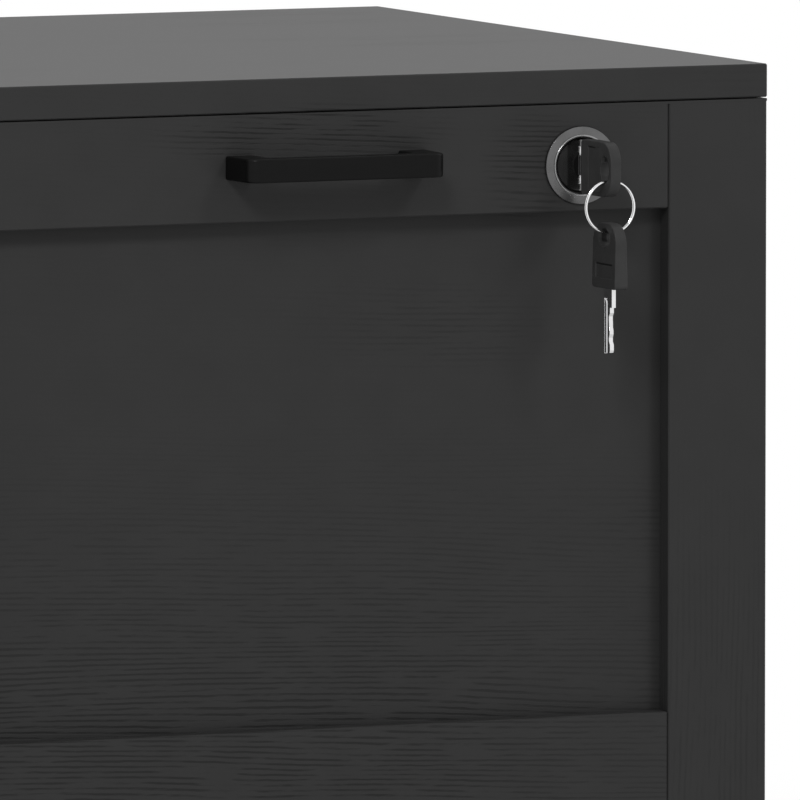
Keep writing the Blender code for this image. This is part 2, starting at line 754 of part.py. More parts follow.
def make_lock_plug(plug):
    """The flat dial and its plug in one, with a square tail for the cam and a keyway along the grip."""
    tail_start = FRONT_Y - CAM_Y + CLEAR
    profile = [
        (0, DIAL_HEIGHT),
        (DIAL_RADIUS - DIAL_EDGE, DIAL_HEIGHT),
        (DIAL_RADIUS, DIAL_HEIGHT - DIAL_EDGE),
        (DIAL_RADIUS, DIAL_BACK),
        (PLUG_RADIUS, DIAL_BACK),
        (PLUG_RADIUS, tail_start),
        (0, tail_start),
    ]
    body = lock_turned("lock_plug", profile, BLACK_METAL, plug, False)
    grip_root = KEY_SEAT - DIAL_THICKNESS / 2
    grip_top = KEY_SEAT + GRIP_HEIGHT
    grip_centre = (LOCK_X, FRONT_Y - (grip_root + grip_top) / 2, LOCK_Z)
    join(body, extruded(grip_outline(), grip_top - grip_root, grip_centre, ACROSS_FRONT))
    half_tail = TAIL_SIDE / 2
    tail_end = CAM_Y + CAM_THICKNESS + CLEAR
    join(
        body,
        box(
            (LOCK_X - half_tail, CAM_Y - TAIL_SIDE, LOCK_Z - half_tail),
            (LOCK_X + half_tail, tail_end, LOCK_Z + half_tail),
        ),
    )
    half_slot = KEY_STEEL / 2 + CLEAR
    slot_end = FRONT_Y - KEY_SEAT + KEY_BLADE_LENGTH + 2 * CLEAR
    half_channel = KEYWAY_LENGTH / 2
    channel_floor = FRONT_Y - KEY_SEAT + CLEAR
    keyway = (slot_end, KEY_CREST - CLEAR, KEY_BACK + CLEAR)
    for end, low, high in (keyway, (channel_floor, -half_channel, half_channel)):
        cut(
            body,
            box(
                (LOCK_X - half_slot, FRONT_Y - TRIM_HEIGHT, LOCK_Z + low),
                (LOCK_X + half_slot, end, LOCK_Z + high),
            ),
        )
    bore_start = tail_end - CAM_SCREW_LENGTH - CLEAR
    bore_radius = CAM_SCREW_SHANK + CLEAR
    cut(body, cylinder_along_y((LOCK_X, LOCK_Z), bore_radius, bore_start, tail_end + bore_radius, 12))


def make_cam(plug):
    """A steel finger that points to the right when the drawer is free and up behind the strike when locked."""
    half = CAM_WIDTH / 2
    blunt = half / 2
    outline = arc((0, 0), half, math.pi / 2, 3 * math.pi / 2, 10)
    outline += [
        (CAM_REACH - blunt, -half),
        (CAM_REACH, -half + blunt),
        (CAM_REACH, half - blunt),
        (CAM_REACH - blunt, half),
    ]
    centre = (LOCK_X, CAM_Y + CAM_THICKNESS / 2, LOCK_Z)
    cam = extruded(outline, CAM_THICKNESS, centre, ACROSS_FRONT)
    finish_part(cam, "lock_cam", ZINC_STEEL, plug)
    half_hole = TAIL_SIDE / 2 + CLEAR
    cut(
        cam,
        box(
            (LOCK_X - half_hole, CAM_Y - CAM_THICKNESS, LOCK_Z - half_hole),
            (LOCK_X + half_hole, CAM_Y + 2 * CAM_THICKNESS, LOCK_Z + half_hole),
        ),
    )
    seat = FRONT_Y - CAM_Y - CAM_THICKNESS - 2 * CLEAR
    shank_end = seat + CAM_SCREW_LENGTH - CLEAR
    profile = [
        (0, shank_end),
        (CAM_SCREW_SHANK, shank_end),
        (CAM_SCREW_SHANK, seat),
        (CAM_SCREW_RADIUS, seat),
        (CAM_SCREW_RADIUS, seat - CAM_SCREW_HEAD / 2),
        (CAM_SCREW_RADIUS - CAM_SCREW_HEAD / 2, seat - CAM_SCREW_HEAD),
        (0, seat - CAM_SCREW_HEAD),
    ]
    lock_turned("lock_cam_screw", profile, ZINC_STEEL, plug, False, 12)


def make_strike(cabinet):
    """A steel angle under the top panel, whose lip hangs in front of the raised cam."""
    low_y = CAM_Y - STRIKE_PLAY - STRIKE_STEEL
    high_z = UNDER_TOP - CLEAR
    outline = [
        (low_y, high_z),
        (low_y, high_z - STRIKE_LIP),
        (low_y + STRIKE_STEEL, high_z - STRIKE_LIP),
        (low_y + STRIKE_STEEL, high_z - STRIKE_STEEL),
        (low_y + STRIKE_DEPTH, high_z - STRIKE_STEEL),
        (low_y + STRIKE_DEPTH, high_z),
    ]
    strike = extruded(outline, STRIKE_WIDTH, (LOCK_X, 0, 0), ACROSS_SIDE)
    finish_part(strike, "lock_strike", ZINC_STEEL, cabinet)


def key_blade_outline():
    """The steel of a key, with its blade along +X from the shoulder and its cuts on the lower edge.

    Its back edge runs straight on from the shoulder's, and the tang goes into the plastic head."""
    tang = KEY_TANG_WIDTH / 2
    end = KEY_BLADE_LENGTH
    pitch = (end - KEY_TIP) / len(KEY_CUTS)
    lower = [(0, -KEY_BACK), (0, KEY_CREST)]
    for number, depth in enumerate(KEY_CUTS):
        middle = pitch * (number + 0.5)
        lower += [(middle - pitch / 4, KEY_CREST + depth), (middle + pitch / 4, KEY_CREST + depth)]
    lower.append((end - KEY_TIP, KEY_CREST))
    tip = [(end, KEY_CREST + KEY_TIP), (end, KEY_BACK - KEY_TIP / 2), (end - KEY_TIP / 2, KEY_BACK)]
    head = -KEY_SHOULDER_LENGTH + CLEAR
    tail = head - KEY_TANG_LENGTH
    back = [(head, KEY_BACK), (head, tang), (tail, tang), (tail, -tang), (head, -tang), (head, -KEY_BACK)]
    return lower + tip + back


def key_head_outline():
    """The plastic head from its flat end, with a half-round outer end."""
    half = KEY_HEAD_WIDTH / 2
    flat = -KEY_SHOULDER_LENGTH
    corner = KEY_HEAD_CORNER
    points = arc((flat - corner, half - corner), corner, 0, math.pi / 2, 4)
    points += arc((flat - KEY_HEAD_LENGTH + half, 0), half, math.pi / 2, 3 * math.pi / 2, 12)
    points += arc((flat - corner, corner - half), corner, -math.pi / 2, 0, 4)
    return points


def slot_outline(centre, length, width):
    radius = width / 2
    run = (length - width) / 2
    upper = arc((centre, run), radius, 0, math.pi, 8)
    return upper + arc((centre, -run), radius, math.pi, 2 * math.pi, 8)


def tapered(obj):
    """Thins a piece drawn in the key's own frame towards the head's outer end."""
    for vertex in obj.data.vertices:
        along = (-KEY_SHOULDER_LENGTH - vertex.co.x) / KEY_HEAD_LENGTH
        vertex.co.z *= 1 - along * KEY_HEAD_TAPER / KEY_HEAD_THICKNESS
    return obj


def key_tool(low, high, seat, rotation):
    """A box drawn in the key's own length, width and thickness."""
    points = [(low[0], low[1]), (high[0], low[1]), (high[0], high[1]), (low[0], high[1])]
    tool = extruded(points, high[2] - low[2], seat, rotation)
    tool.data.transform(Matrix.Translation((0, 0, (high[2] + low[2]) / 2)))
    return tool


def make_key_blade(name, seat, rotation, parent):
    blade = extruded(key_blade_outline(), KEY_STEEL, seat, rotation)
    finish_part(blade, name, CHROME, parent)
    groove_high = KEY_BACK - KEY_GROOVE_RIM
    groove = key_tool(
        (-KEY_GROOVE_START, groove_high - KEY_GROOVE_WIDTH, -KEY_STEEL),
        (KEY_BLADE_LENGTH + KEY_TIP, groove_high, KEY_GROOVE_DEPTH - KEY_STEEL / 2),
        seat,
        rotation,
    )
    cut(blade, groove)


def make_key_head(name, seat, rotation, parent):
    """The moulded head, with a long hole for the ring and a sunk label field on both faces."""
    head = tapered(extruded(key_head_outline(), KEY_HEAD_THICKNESS, seat, rotation))
    finish_part(head, name, BLACK_PLASTIC, parent)
    round_edges(head, KEY_HEAD_EDGE, 2)
    hole_x = KEY_HOLE_WIDTH / 2 + KEY_HOLE_WALL - KEY_HEAD_LENGTH - KEY_SHOULDER_LENGTH
    label_end = -KEY_SHOULDER_LENGTH - KEY_LABEL_INSET
    half_label = KEY_LABEL_WIDTH / 2
    floor = KEY_HEAD_THICKNESS / 2 - KEY_LABEL_DEPTH
    for low, high in ((floor, KEY_HEAD_THICKNESS), (-KEY_HEAD_THICKNESS, -floor)):
        label = key_tool(
            (label_end - KEY_LABEL_LENGTH, -half_label, low),
            (label_end, half_label, high),
            seat,
            rotation,
        )
        cut(head, tapered(label))
    flat = -KEY_SHOULDER_LENGTH
    tang = KEY_TANG_WIDTH / 2 + CLEAR
    half = KEY_STEEL / 2 + CLEAR
    socket = key_tool(
        (flat - KEY_TANG_LENGTH - CLEAR, -tang, -half),
        (flat + KEY_TANG_LENGTH, tang, half),
        seat,
        rotation,
    )
    cut(head, socket)
    slot = slot_outline(hole_x, KEY_HOLE_LENGTH, KEY_HOLE_WIDTH)
    cut(head, extruded(slot, 2 * KEY_HEAD_THICKNESS, seat, rotation))


def make_key(prefix, seat, rotation, parent):
    """A key whose shoulder stands at the seat. Its length lies along Y in the lock, and along Z as it hangs."""
    make_key_blade(f"{prefix}_blade", seat, rotation, parent)
    make_key_head(f"{prefix}_head", seat, rotation, parent)


def ring_points():
    """Two loops of a helix about Y, whose ends lie at the ring's foot, inside the spare key's head."""
    count = RING_TURNS * RING_POINTS
    points = []
    for step in range(count + 1):
        angle = RING_START + 2 * math.pi * step / RING_POINTS
        along = RING_PITCH * (step / RING_POINTS - RING_TURNS / 2)
        points.append((RING_RADIUS * math.cos(angle), along, RING_RADIUS * math.sin(angle)))
    return points


def print_ring_gap():
    points = ring_points()
    nearest = min(
        math.dist(first, second)
        for i, first in enumerate(points)
        for second in points[i + RING_POINTS // 2 :]
    )
    print(f"key_ring least gap between loops {1000 * (nearest - RING_WIRE):.2f} mm")


def make_ring(centre, parent):
    curve = bpy.data.curves.new("key_ring", "CURVE")
    curve.dimensions = "3D"
    curve.bevel_depth = RING_WIRE / 2
    curve.bevel_resolution = 1
    curve.use_fill_caps = True
    points = ring_points()
    spline = curve.splines.new("POLY")
    spline.points.add(len(points) - 1)
    for point, place in zip(spline.points, points):
        point.co = (*place, 1)
    ring = bpy.data.objects.new("key_ring", curve)
    bpy.context.scene.collection.objects.link(ring)
    ring.location = centre
    finish_part(ring, "key_ring", CHROME, parent)
    print_ring_gap()


def make_keys(plug):
    """The key in the lock, the split ring through its head and the spare key that hangs from the ring."""
    seat = (LOCK_X, FRONT_Y - KEY_SEAT, LOCK_Z)
    key = frame_empty("key", seat, plug)
    make_key("key", seat, ACROSS_SIDE, key)
    # The wire bends down as it leaves the head, so it stands that much above the hole's end.
    bend = RING_RADIUS - math.sqrt(RING_RADIUS**2 - (KEY_HOLE_DEPTH / 2) ** 2)
    rest = RING_WIRE / 2 + bend + RING_PLAY
    hang_z = LOCK_Z - KEY_HOLE_LENGTH / 2 + rest
    ring = frame_empty("ring", (LOCK_X, RING_Y, hang_z), key)
    centre = (LOCK_X, RING_Y, hang_z - RING_RADIUS)
    make_ring(centre, ring)
    spare = frame_empty("spare_key", centre, ring)
    head_top = centre[2] - RING_RADIUS + rest + KEY_HOLE_WALL
    spare_seat = (LOCK_X, RING_Y, head_top - KEY_HEAD_LENGTH - KEY_SHOULDER_LENGTH)
    make_key("spare_key", spare_seat, HANGING, spare)


def main():
    cabinet = frame_empty("cabinet", (0, 0, 0))
    make_carcass(cabinet)
    make_glides(cabinet)
    upper, front, top_rail = make_drawer("upper", UPPER_Z, cabinet)
    make_drawer("lower", LOWER_Z, cabinet)
    make_lock_body(upper, front, top_rail)
    plug = frame_empty("lock", (LOCK_X, FRONT_Y, LOCK_Z), upper)
    make_lock_plug(plug)
    make_cam(plug)
    make_strike(cabinet)
    make_keys(plug)


main()
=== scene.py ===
import math
import bmesh
import bpy
import numpy as np
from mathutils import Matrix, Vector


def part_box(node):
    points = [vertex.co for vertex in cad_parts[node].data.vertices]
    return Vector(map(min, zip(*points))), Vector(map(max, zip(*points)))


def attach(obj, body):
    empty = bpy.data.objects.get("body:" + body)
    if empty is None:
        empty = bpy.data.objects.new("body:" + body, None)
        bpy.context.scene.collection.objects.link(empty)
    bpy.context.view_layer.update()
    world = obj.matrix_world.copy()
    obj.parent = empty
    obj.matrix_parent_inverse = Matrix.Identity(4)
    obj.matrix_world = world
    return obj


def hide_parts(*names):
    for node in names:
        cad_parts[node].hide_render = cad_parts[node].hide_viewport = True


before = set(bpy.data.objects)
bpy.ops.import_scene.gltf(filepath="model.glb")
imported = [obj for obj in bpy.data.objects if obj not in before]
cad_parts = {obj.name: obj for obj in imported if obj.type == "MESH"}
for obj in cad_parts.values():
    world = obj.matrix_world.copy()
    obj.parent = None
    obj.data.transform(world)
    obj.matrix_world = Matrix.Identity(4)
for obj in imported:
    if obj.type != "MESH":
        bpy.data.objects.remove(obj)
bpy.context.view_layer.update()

topLow, topHigh = (np.array(corner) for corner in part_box("top_panel"))
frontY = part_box("upper_top_frame_rail")[0][1]
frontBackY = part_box("upper_front_board")[1][1]
lockLow, lockHigh = (np.array(corner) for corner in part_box("lock_trim_ring"))
lockX = (lockLow[0] + lockHigh[0]) / 2
lockZ = (lockLow[2] + lockHigh[2]) / 2


# node wiring

def addNode(tree, kind, inputs=None, **settings):
    node = tree.nodes.new(kind)
    for key, value in settings.items():
        setattr(node, key, value)
    for key, value in (inputs or {}).items():
        if isinstance(value, bpy.types.NodeSocket):
            tree.links.new(value, node.inputs[key])
        else:
            node.inputs[key].default_value = value
    return node


def newFinish(name, shaderValues):
    material = bpy.data.materials.new(name)
    material.use_nodes = True
    tree = material.node_tree
    shader = tree.nodes["Principled BSDF"]
    for key, value in shaderValues.items():
        shader.inputs[key].default_value = value
    return material, tree, shader, addNode(tree, "ShaderNodeTexCoord").outputs["Object"]


def scaledCoords(tree, scale, start):
    return addNode(tree, "ShaderNodeMapping", {"Vector": start, "Scale": scale}).outputs[0]


def noiseOf(tree, vector, detail=2.0, rough=0.5):
    values = {"Vector": vector, "Scale": 1.0, "Detail": detail, "Roughness": rough}
    return addNode(tree, "ShaderNodeTexNoise", values).outputs["Fac"]


def evenNoise(tree, start, cells, detail):
    return noiseOf(tree, scaledCoords(tree, (cells, cells, cells), start), detail=detail)


def remap(tree, value, low, high, toLow=0.0, toHigh=1.0):
    values = {"Value": value, "From Min": low, "From Max": high, "To Min": toLow, "To Max": toHigh}
    return addNode(tree, "ShaderNodeMapRange", values, interpolation_type="SMOOTHSTEP").outputs[0]


def calc(tree, operation, first, second):
    return addNode(tree, "ShaderNodeMath", {0: first, 1: second}, operation=operation).outputs[0]


def mixColour(tree, amount, first, second):
    node = addNode(tree, "ShaderNodeMix", data_type="RGBA")
    for index, value in ((0, amount), (6, first), (7, second)):   # its sockets for colours
        if isinstance(value, bpy.types.NodeSocket):
            tree.links.new(value, node.inputs[index])
        else:
            node.inputs[index].default_value = value
    return node.outputs[2]


def bumpFrom(tree, shader, height, strength, distance):
    values = {"Height": height, "Strength": strength, "Distance": distance}
    bump = addNode(tree, "ShaderNodeBump", values)
    tree.links.new(bump.outputs[0], shader.inputs["Normal"])


def grey(value, tint=1.0):
    return (value, value, value * tint, 1.0)


def blendTones(tree, shader, amount, tone, shares):
    colour = mixColour(tree, amount, grey(tone * shares[0]), grey(tone * shares[1]))
    tree.links.new(colour, shader.inputs["Base Color"])


def varyRough(tree, shader, amount, edge, ends):
    tree.links.new(remap(tree, amount, *edge, *ends), shader.inputs["Roughness"])


# finishes

wholeRange = (0.0, 1.0)
cloudEdge = (0.3, 0.7)            # noise values between which a cloudy tone changes

foil = {
    "tone": 0.0249,               # ground colour
    "toneShares": (0.97, 1.03),   # it varies between these in clouds
    "cloudCells": 34,             # noise cells per metre, as in every other cells value
    "streakTone": 0.0145,         # colour in the pressed grain
    "roughness": 0.47,
    "roughGain": 0.16,            # added in the pressed grain
    "specular": 0.15,
    "pitch": 0.0027,              # from one grain line to the next, metres
    "lineEdge": (-0.15, 0.9),     # sine values between which a line sinks
    "tilt": 0.042,                # how far the lines run down for each metre to the right
    "sway": 0.012,                # how far they wander to either side, metres
    "swayCells": (2.4, 14.0),     # along the board and across it
    "ripple": 0.0011,             # the width of their tremble, metres
    "rippleCells": (90.0, 320.0),
    "breakCells": (40.0, 210.0),  # the noise that breaks the lines up
    "breakEdge": (0.34, 0.58),
    "patchCells": (3.0, 12.0),    # broad patches of stronger grain
    "patchEdge": (0.53, 0.75),
    "patchShares": (0.8, 0.3),    # their strength below the top panel and on it
    "topStep": 0.002,             # height in which the one passes into the other
    "lowGrain": (0.42, 0.60),     # heights between which the grain fades
    "lowShares": (1.0, 0.06),
    "rightFade": (0.04, 0.17),    # places in x between which the low grain weakens
    "rightShares": (1.0, 0.45),
    "sideGrain": 0.35,            # the grain's share on upright boards
    "spots": [((-0.012, 0.724), (0.085, 0.016)),   # middle and reach in x and z of two more patches
              ((0.108, 0.704), (0.030, 0.030))],
    "spotEdge": (0.4, 1.1),       # shares of the reach between which they fade
    "pressDepth": 0.00026,
    "pressStrength": 0.55,
    "toothCells": 2600,
    "toothShare": 0.08,           # height of the fine tooth beside that of the lines
}


def ovalDistance(tree, start, middle, reach):
    # how far a place is from the middle in x and z, counted in its reach
    values = {0: start, 1: (middle[0], 0, middle[1])}
    offset = addNode(tree, "ShaderNodeVectorMath", values, operation="SUBTRACT").outputs[0]
    values = {0: offset, 1: (1 / reach[0], 0, 1 / reach[1])}
    scaled = addNode(tree, "ShaderNodeVectorMath", values, operation="MULTIPLY").outputs[0]
    return addNode(tree, "ShaderNodeVectorMath", {0: scaled}, operation="LENGTH").outputs["Value"]


def boardFoil(name, axis):
    # pressed grain: lines along the board, the sine of the sideways place over their pitch, tilted a little
    # on boards that lie across, swayed by a slow noise so that they bow, broken up by a drawn-out noise, and
    # strong only low down, in broad patches and in two spots
    values = {"Base Color": grey(foil["tone"]), "Roughness": foil["roughness"]}
    values["Specular IOR Level"] = foil["specular"]
    material, tree, shader, start = newFinish(name, values)
    split = addNode(tree, "ShaderNodeSeparateXYZ", {0: start}).outputs

    def stretched(along, across):
        return scaledCoords(tree, (along, across, across) if axis == "x" else (across, across, along), start)

    def wander(noise, width):
        return calc(tree, "MULTIPLY", calc(tree, "SUBTRACT", noise, 0.5), width)

    sway = noiseOf(tree, stretched(*foil["swayCells"]), detail=2.0, rough=0.45)
    tremble = noiseOf(tree, stretched(*foil["rippleCells"]), detail=2.0)
    shift = calc(tree, "ADD", wander(sway, foil["sway"] * 2), wander(tremble, foil["ripple"]))
    side = calc(tree, "ADD", split[1], split[2] if axis == "x" else split[0])
    if axis == "x":
        side = calc(tree, "ADD", side, calc(tree, "MULTIPLY", split[0], foil["tilt"]))
    phase = calc(tree, "MULTIPLY", calc(tree, "ADD", side, shift), 2 * math.pi / foil["pitch"])
    line = remap(tree, calc(tree, "SINE", phase, 0.0), *foil["lineEdge"])
    fine = noiseOf(tree, stretched(*foil["breakCells"]), detail=3.0, rough=0.6)
    patch = remap(tree, noiseOf(tree, stretched(*foil["patchCells"]), detail=1.0), *foil["patchEdge"])
    low = remap(tree, split[2], *foil["lowGrain"], *foil["lowShares"])
    if axis == "x":
        low = calc(tree, "MULTIPLY", low, remap(tree, split[0], *foil["rightFade"], *foil["rightShares"]))
        share = remap(tree, split[2], topLow[2] - foil["topStep"], topLow[2], *foil["patchShares"])
        patch = calc(tree, "MULTIPLY", patch, share)
    else:
        low = calc(tree, "MULTIPLY", low, foil["sideGrain"])
        patch = calc(tree, "MULTIPLY", patch, foil["sideGrain"])
    area = calc(tree, "MAXIMUM", patch, low)
    for middle, reach in foil["spots"] if axis == "x" else []:
        away = ovalDistance(tree, start, middle, reach)
        area = calc(tree, "MAXIMUM", area, remap(tree, away, *foil["spotEdge"], 1.0, 0.0))
    broken = calc(tree, "MULTIPLY", line, remap(tree, fine, *foil["breakEdge"]))
    pressed = calc(tree, "MULTIPLY", broken, area)
    cloud = remap(tree, evenNoise(tree, start, foil["cloudCells"], detail=4.0), *cloudEdge)
    dark, light = (grey(foil["tone"] * share) for share in foil["toneShares"])
    ground = mixColour(tree, cloud, dark, light)
    colour = mixColour(tree, pressed, ground, grey(foil["streakTone"]))
    tree.links.new(colour, shader.inputs["Base Color"])
    roughEnds = (foil["roughness"], foil["roughness"] + foil["roughGain"])
    varyRough(tree, shader, pressed, wholeRange, roughEnds)
    tooth = evenNoise(tree, start, foil["toothCells"], detail=1.0)
    height = calc(tree, "SUBTRACT", calc(tree, "MULTIPLY", tooth, foil["toothShare"]), pressed)
    bumpFrom(tree, shader, height, foil["pressStrength"], foil["pressDepth"])
    return material


plain = {
    "specular": 0.35, "cloudCells": 14, "toneShares": (0.86, 1.14), "roughSpan": 0.06,
    "fleckEdge": (0.45, 0.75), "fleckShare": 0.35, "fleckTone": 0.6,
    "toothStrength": 0.3, "toothDepth": 0.00012,
}


def smoothBoard(name, tone, roughness, cells):
    # a plain board: cloudy tone and gloss, and fine flecks that are its tooth as well
    values = {"Base Color": grey(tone), "Roughness": roughness, "Specular IOR Level": plain["specular"]}
    material, tree, shader, start = newFinish(name, values)
    cloud = remap(tree, evenNoise(tree, start, plain["cloudCells"], detail=5.0), *cloudEdge)
    fibre = evenNoise(tree, start, cells, detail=3.0)
    dark, light = (grey(tone * share) for share in plain["toneShares"])
    fleck = remap(tree, fibre, *plain["fleckEdge"], 0.0, plain["fleckShare"])
    flecked = mixColour(tree, fleck, mixColour(tree, cloud, dark, light), grey(tone * plain["fleckTone"]))
    tree.links.new(flecked, shader.inputs["Base Color"])
    span = plain["roughSpan"]
    varyRough(tree, shader, cloud, wholeRange, (roughness - span, roughness + span))
    bumpFrom(tree, shader, fibre, plain["toothStrength"], plain["toothDepth"])
    return material


lacquer = {
    "peelCells": 900, "peelStrength": 0.16, "peelDepth": 0.00010,
    "rubCells": (70, 70, 500), "rubEdge": (0.35, 0.75), "toneShares": (0.95, 1.06), "roughSpan": 0.02,
}


def satinPaint(name, tone, roughness, specular):
    # sprayed lacquer: fine orange peel and faint rub marks
    values = {"Base Color": grey(tone), "Roughness": roughness, "Specular IOR Level": specular}
    material, tree, shader, start = newFinish(name, values)
    peel = evenNoise(tree, start, lacquer["peelCells"], detail=2.0)
    marks = noiseOf(tree, scaledCoords(tree, lacquer["rubCells"], start), detail=3.0)
    rub = remap(tree, marks, *lacquer["rubEdge"])
    blendTones(tree, shader, rub, tone, lacquer["toneShares"])
    span = lacquer["roughSpan"]
    varyRough(tree, shader, rub, wholeRange, (roughness - span, roughness + span))
    bumpFrom(tree, shader, peel, lacquer["peelStrength"], lacquer["peelDepth"])
    return material


plating = {
    "smearCells": 160, "smearEdge": (0.35, 0.7), "toneShares": (0.9, 1.1), "roughShares": (0.8, 1.3),
    "lapCells": (300, 300, 2400), "lapStrength": 0.03, "lapDepth": 0.00002,
}


def polishedBlack(name, tone, roughness, index):
    # black plating: a dark ground under a strong mirror, with faint smears and lapping marks
    values = {"Base Color": grey(tone), "Roughness": roughness, "IOR": index}
    material, tree, shader, start = newFinish(name, values)
    smear = remap(tree, evenNoise(tree, start, plating["smearCells"], detail=3.0), *plating["smearEdge"])
    blendTones(tree, shader, smear, tone, plating["toneShares"])
    varyRough(tree, shader, smear, wholeRange, [roughness * share for share in plating["roughShares"]])
    lap = noiseOf(tree, scaledCoords(tree, plating["lapCells"], start), detail=2.0)
    bumpFrom(tree, shader, lap, plating["lapStrength"], plating["lapDepth"])
    return material


mould = {
    "pitCells": 2200, "pitEdge": (0.2, 0.8), "pitStrength": 0.22, "pitDepth": 0.00008,
    "cloudCells": 180, "toneShares": (0.93, 1.07), "roughAdded": (-0.05, 0.07),
}


def mouldedPlastic(name, tone, roughness, specular):
    # spark-eroded mould texture
    values = {"Base Color": grey(tone), "Roughness": roughness, "Specular IOR Level": specular}
    material, tree, shader, start = newFinish(name, values)
    pits = evenNoise(tree, start, mould["pitCells"], detail=2.0)
    cloud = remap(tree, evenNoise(tree, start, mould["cloudCells"], detail=2.0), *cloudEdge)
    blendTones(tree, shader, cloud, tone, mould["toneShares"])
    varyRough(tree, shader, pits, mould["pitEdge"], [roughness + added for added in mould["roughAdded"]])
    bumpFrom(tree, shader, pits, mould["pitStrength"], mould["pitDepth"])
    return material


metal = {
    "tint": 1.01, "cloudCells": 110, "cloudEdge": (0.35, 0.7), "lineShare": 0.6, "cloudShare": 0.4,
    "roughEdge": (0.2, 0.8), "roughShares": (0.7, 1.3), "lineStrength": 0.10, "lineDepth": 0.00005,
}


def metalFinish(name, tone, roughness, brush, wear):
    # plated metal: brush lines drawn out along one axis, cloudy gloss, and faint tarnish
    clean = grey(tone, metal["tint"])
    values = {"Base Color": clean, "Roughness": roughness, "Metallic": 1.0}
    material, tree, shader, start = newFinish(name, values)
    lines = noiseOf(tree, scaledCoords(tree, brush, start), detail=3.0)
    cloud = remap(tree, evenNoise(tree, start, metal["cloudCells"], detail=3.0), *metal["cloudEdge"])
    tarnished = mixColour(tree, cloud, clean, grey(tone * (1 - wear)))
    tree.links.new(tarnished, shader.inputs["Base Color"])
    uneven = calc(tree, "ADD", calc(tree, "MULTIPLY", lines, metal["lineShare"]),
                  calc(tree, "MULTIPLY", cloud, metal["cloudShare"]))
    varyRough(tree, shader, uneven, metal["roughEdge"], [roughness * share for share in metal["roughShares"]])
    bumpFrom(tree, shader, lines, metal["lineStrength"], metal["lineDepth"])
    return material


grainAcross = boardFoil("boardGrainAcross", "x")
grainUp = boardFoil("boardGrainUp", "z")
backFinish = smoothBoard("backBoardFoil", tone=0.034, roughness=0.62, cells=900)
boxFinish = smoothBoard("drawerBoxFoil", tone=0.042, roughness=0.5, cells=1500)
handlePaint = satinPaint("handleLacquer", tone=0.0037, roughness=0.32, specular=0.10)
dialGloss = polishedBlack("dialBlack", tone=0.0105, roughness=0.12, index=2.5)
gripSatin = satinPaint("gripBlack", tone=0.0042, roughness=0.50, specular=0.05)
trimMetal = metalFinish("trimNickel", tone=0.138, roughness=0.24, brush=(300, 300, 300), wear=0.15)
beadMetal = metalFinish("beadNickel", tone=0.32, roughness=0.20, brush=(300, 300, 300), wear=0.10)
brightMetal = metalFinish("keyNickel", tone=0.80, roughness=0.13, brush=(120, 1500, 1500), wear=0.08)
ringMetal = metalFinish("ringNickel", tone=0.86, roughness=0.10, brush=(500, 500, 500), wear=0.06)
darkMetal = metalFinish("housingGunmetal", tone=0.030, roughness=0.35, brush=(400, 400, 400), wear=0.2)
zincMetal = metalFinish("zincSteel", tone=0.52, roughness=0.34, brush=(1200, 40, 1200), wear=0.18)
headPlastic = mouldedPlastic("keyHeadPlastic", tone=0.0320, roughness=0.46, specular=0.13)
# near-black plastic whose colour is painted shade, at the shadowed edge of each label recess and inside each
# key's hole
paintedShadePlastic = mouldedPlastic("paintedShadeBlack", tone=0.0050, roughness=0.5, specular=0.15)
footPlastic = mouldedPlastic("glidePlastic", tone=0.026, roughness=0.5, specular=0.35)
print("finishes made:", len(bpy.data.materials))


# CAD nodes that keep their shape get a finish

def finishFor(name):
    if name.endswith(("_stile", "_side_panel")):
        return grainUp
    if name == "back_panel":
        return backFinish
    if "_box_" in name:
        return boxFinish
    if name.endswith(("_slide_outer", "_slide_mid", "_slide_inner", "_file_rail")):
        return zincMetal
    if name in ("lock_strike", "lock_cam", "lock_cam_screw", "lock_nut"):
        return zincMetal
    if name.endswith("_glide"):
        return footPlastic
    if name == "lock_housing":
        return darkMetal
    if name == "lock_plug":
        return dialGloss
    return grainAcross


for nodeName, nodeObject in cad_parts.items():
    if nodeObject.type == "MESH":
        nodeObject.data.materials.clear()
        nodeObject.data.materials.append(finishFor(nodeName))


# surface helpers

mergeReach = 2e-7     # points closer than this become one
cornerLimit = 0.48    # the largest share of a side that a rounded corner takes


def smoothStep(value):
    value = np.clip(value, 0.0, 1.0)
    return value * value * (3 - 2 * value)


def gridQuads(rows, columns, start=0):
    index = np.arange(rows * columns).reshape(rows, columns) + start
    quads = np.stack([index[:-1, :-1], index[1:, :-1], index[1:, 1:], index[:-1, 1:]], axis=-1)
    return quads.reshape(-1, 4)


def makePiece(name, grids, material, body, sharp=40.0):
    # each grid is an array of rows of points; rows and columns join their neighbours, and seams and poles
    # are merged
    points = []
    faces = []
    start = 0
    for grid in grids:
        rows, columns = grid.shape[:2]
        points.append(grid.reshape(-1, 3))
        faces.append(gridQuads(rows, columns, start))
        start += rows * columns
    mesh = bpy.data.meshes.new(name)
    mesh.from_pydata(np.concatenate(points).tolist(), [], np.concatenate(faces).tolist())
    work = bmesh.new()
    work.from_mesh(mesh)
    bmesh.ops.remove_doubles(work, verts=work.verts, dist=mergeReach)
    bmesh.ops.recalc_face_normals(work, faces=work.faces)
    work.to_mesh(mesh)
    work.free()
    mesh.shade_smooth()
    mesh.set_sharp_from_angle(angle=math.radians(sharp))
    mesh.materials.append(material)
    piece = bpy.data.objects.new(name, mesh)
    bpy.context.scene.collection.objects.link(piece)
    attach(piece, body)
    return piece


def capped(grid):
    # closes both ends of a loop carried along a path: each end row runs in to its own middle point
    ends = [np.repeat(row.mean(axis=0, keepdims=True), len(row), axis=0)[None] for row in (grid[0], grid[-1])]
    return np.concatenate([ends[0], grid, ends[1]])


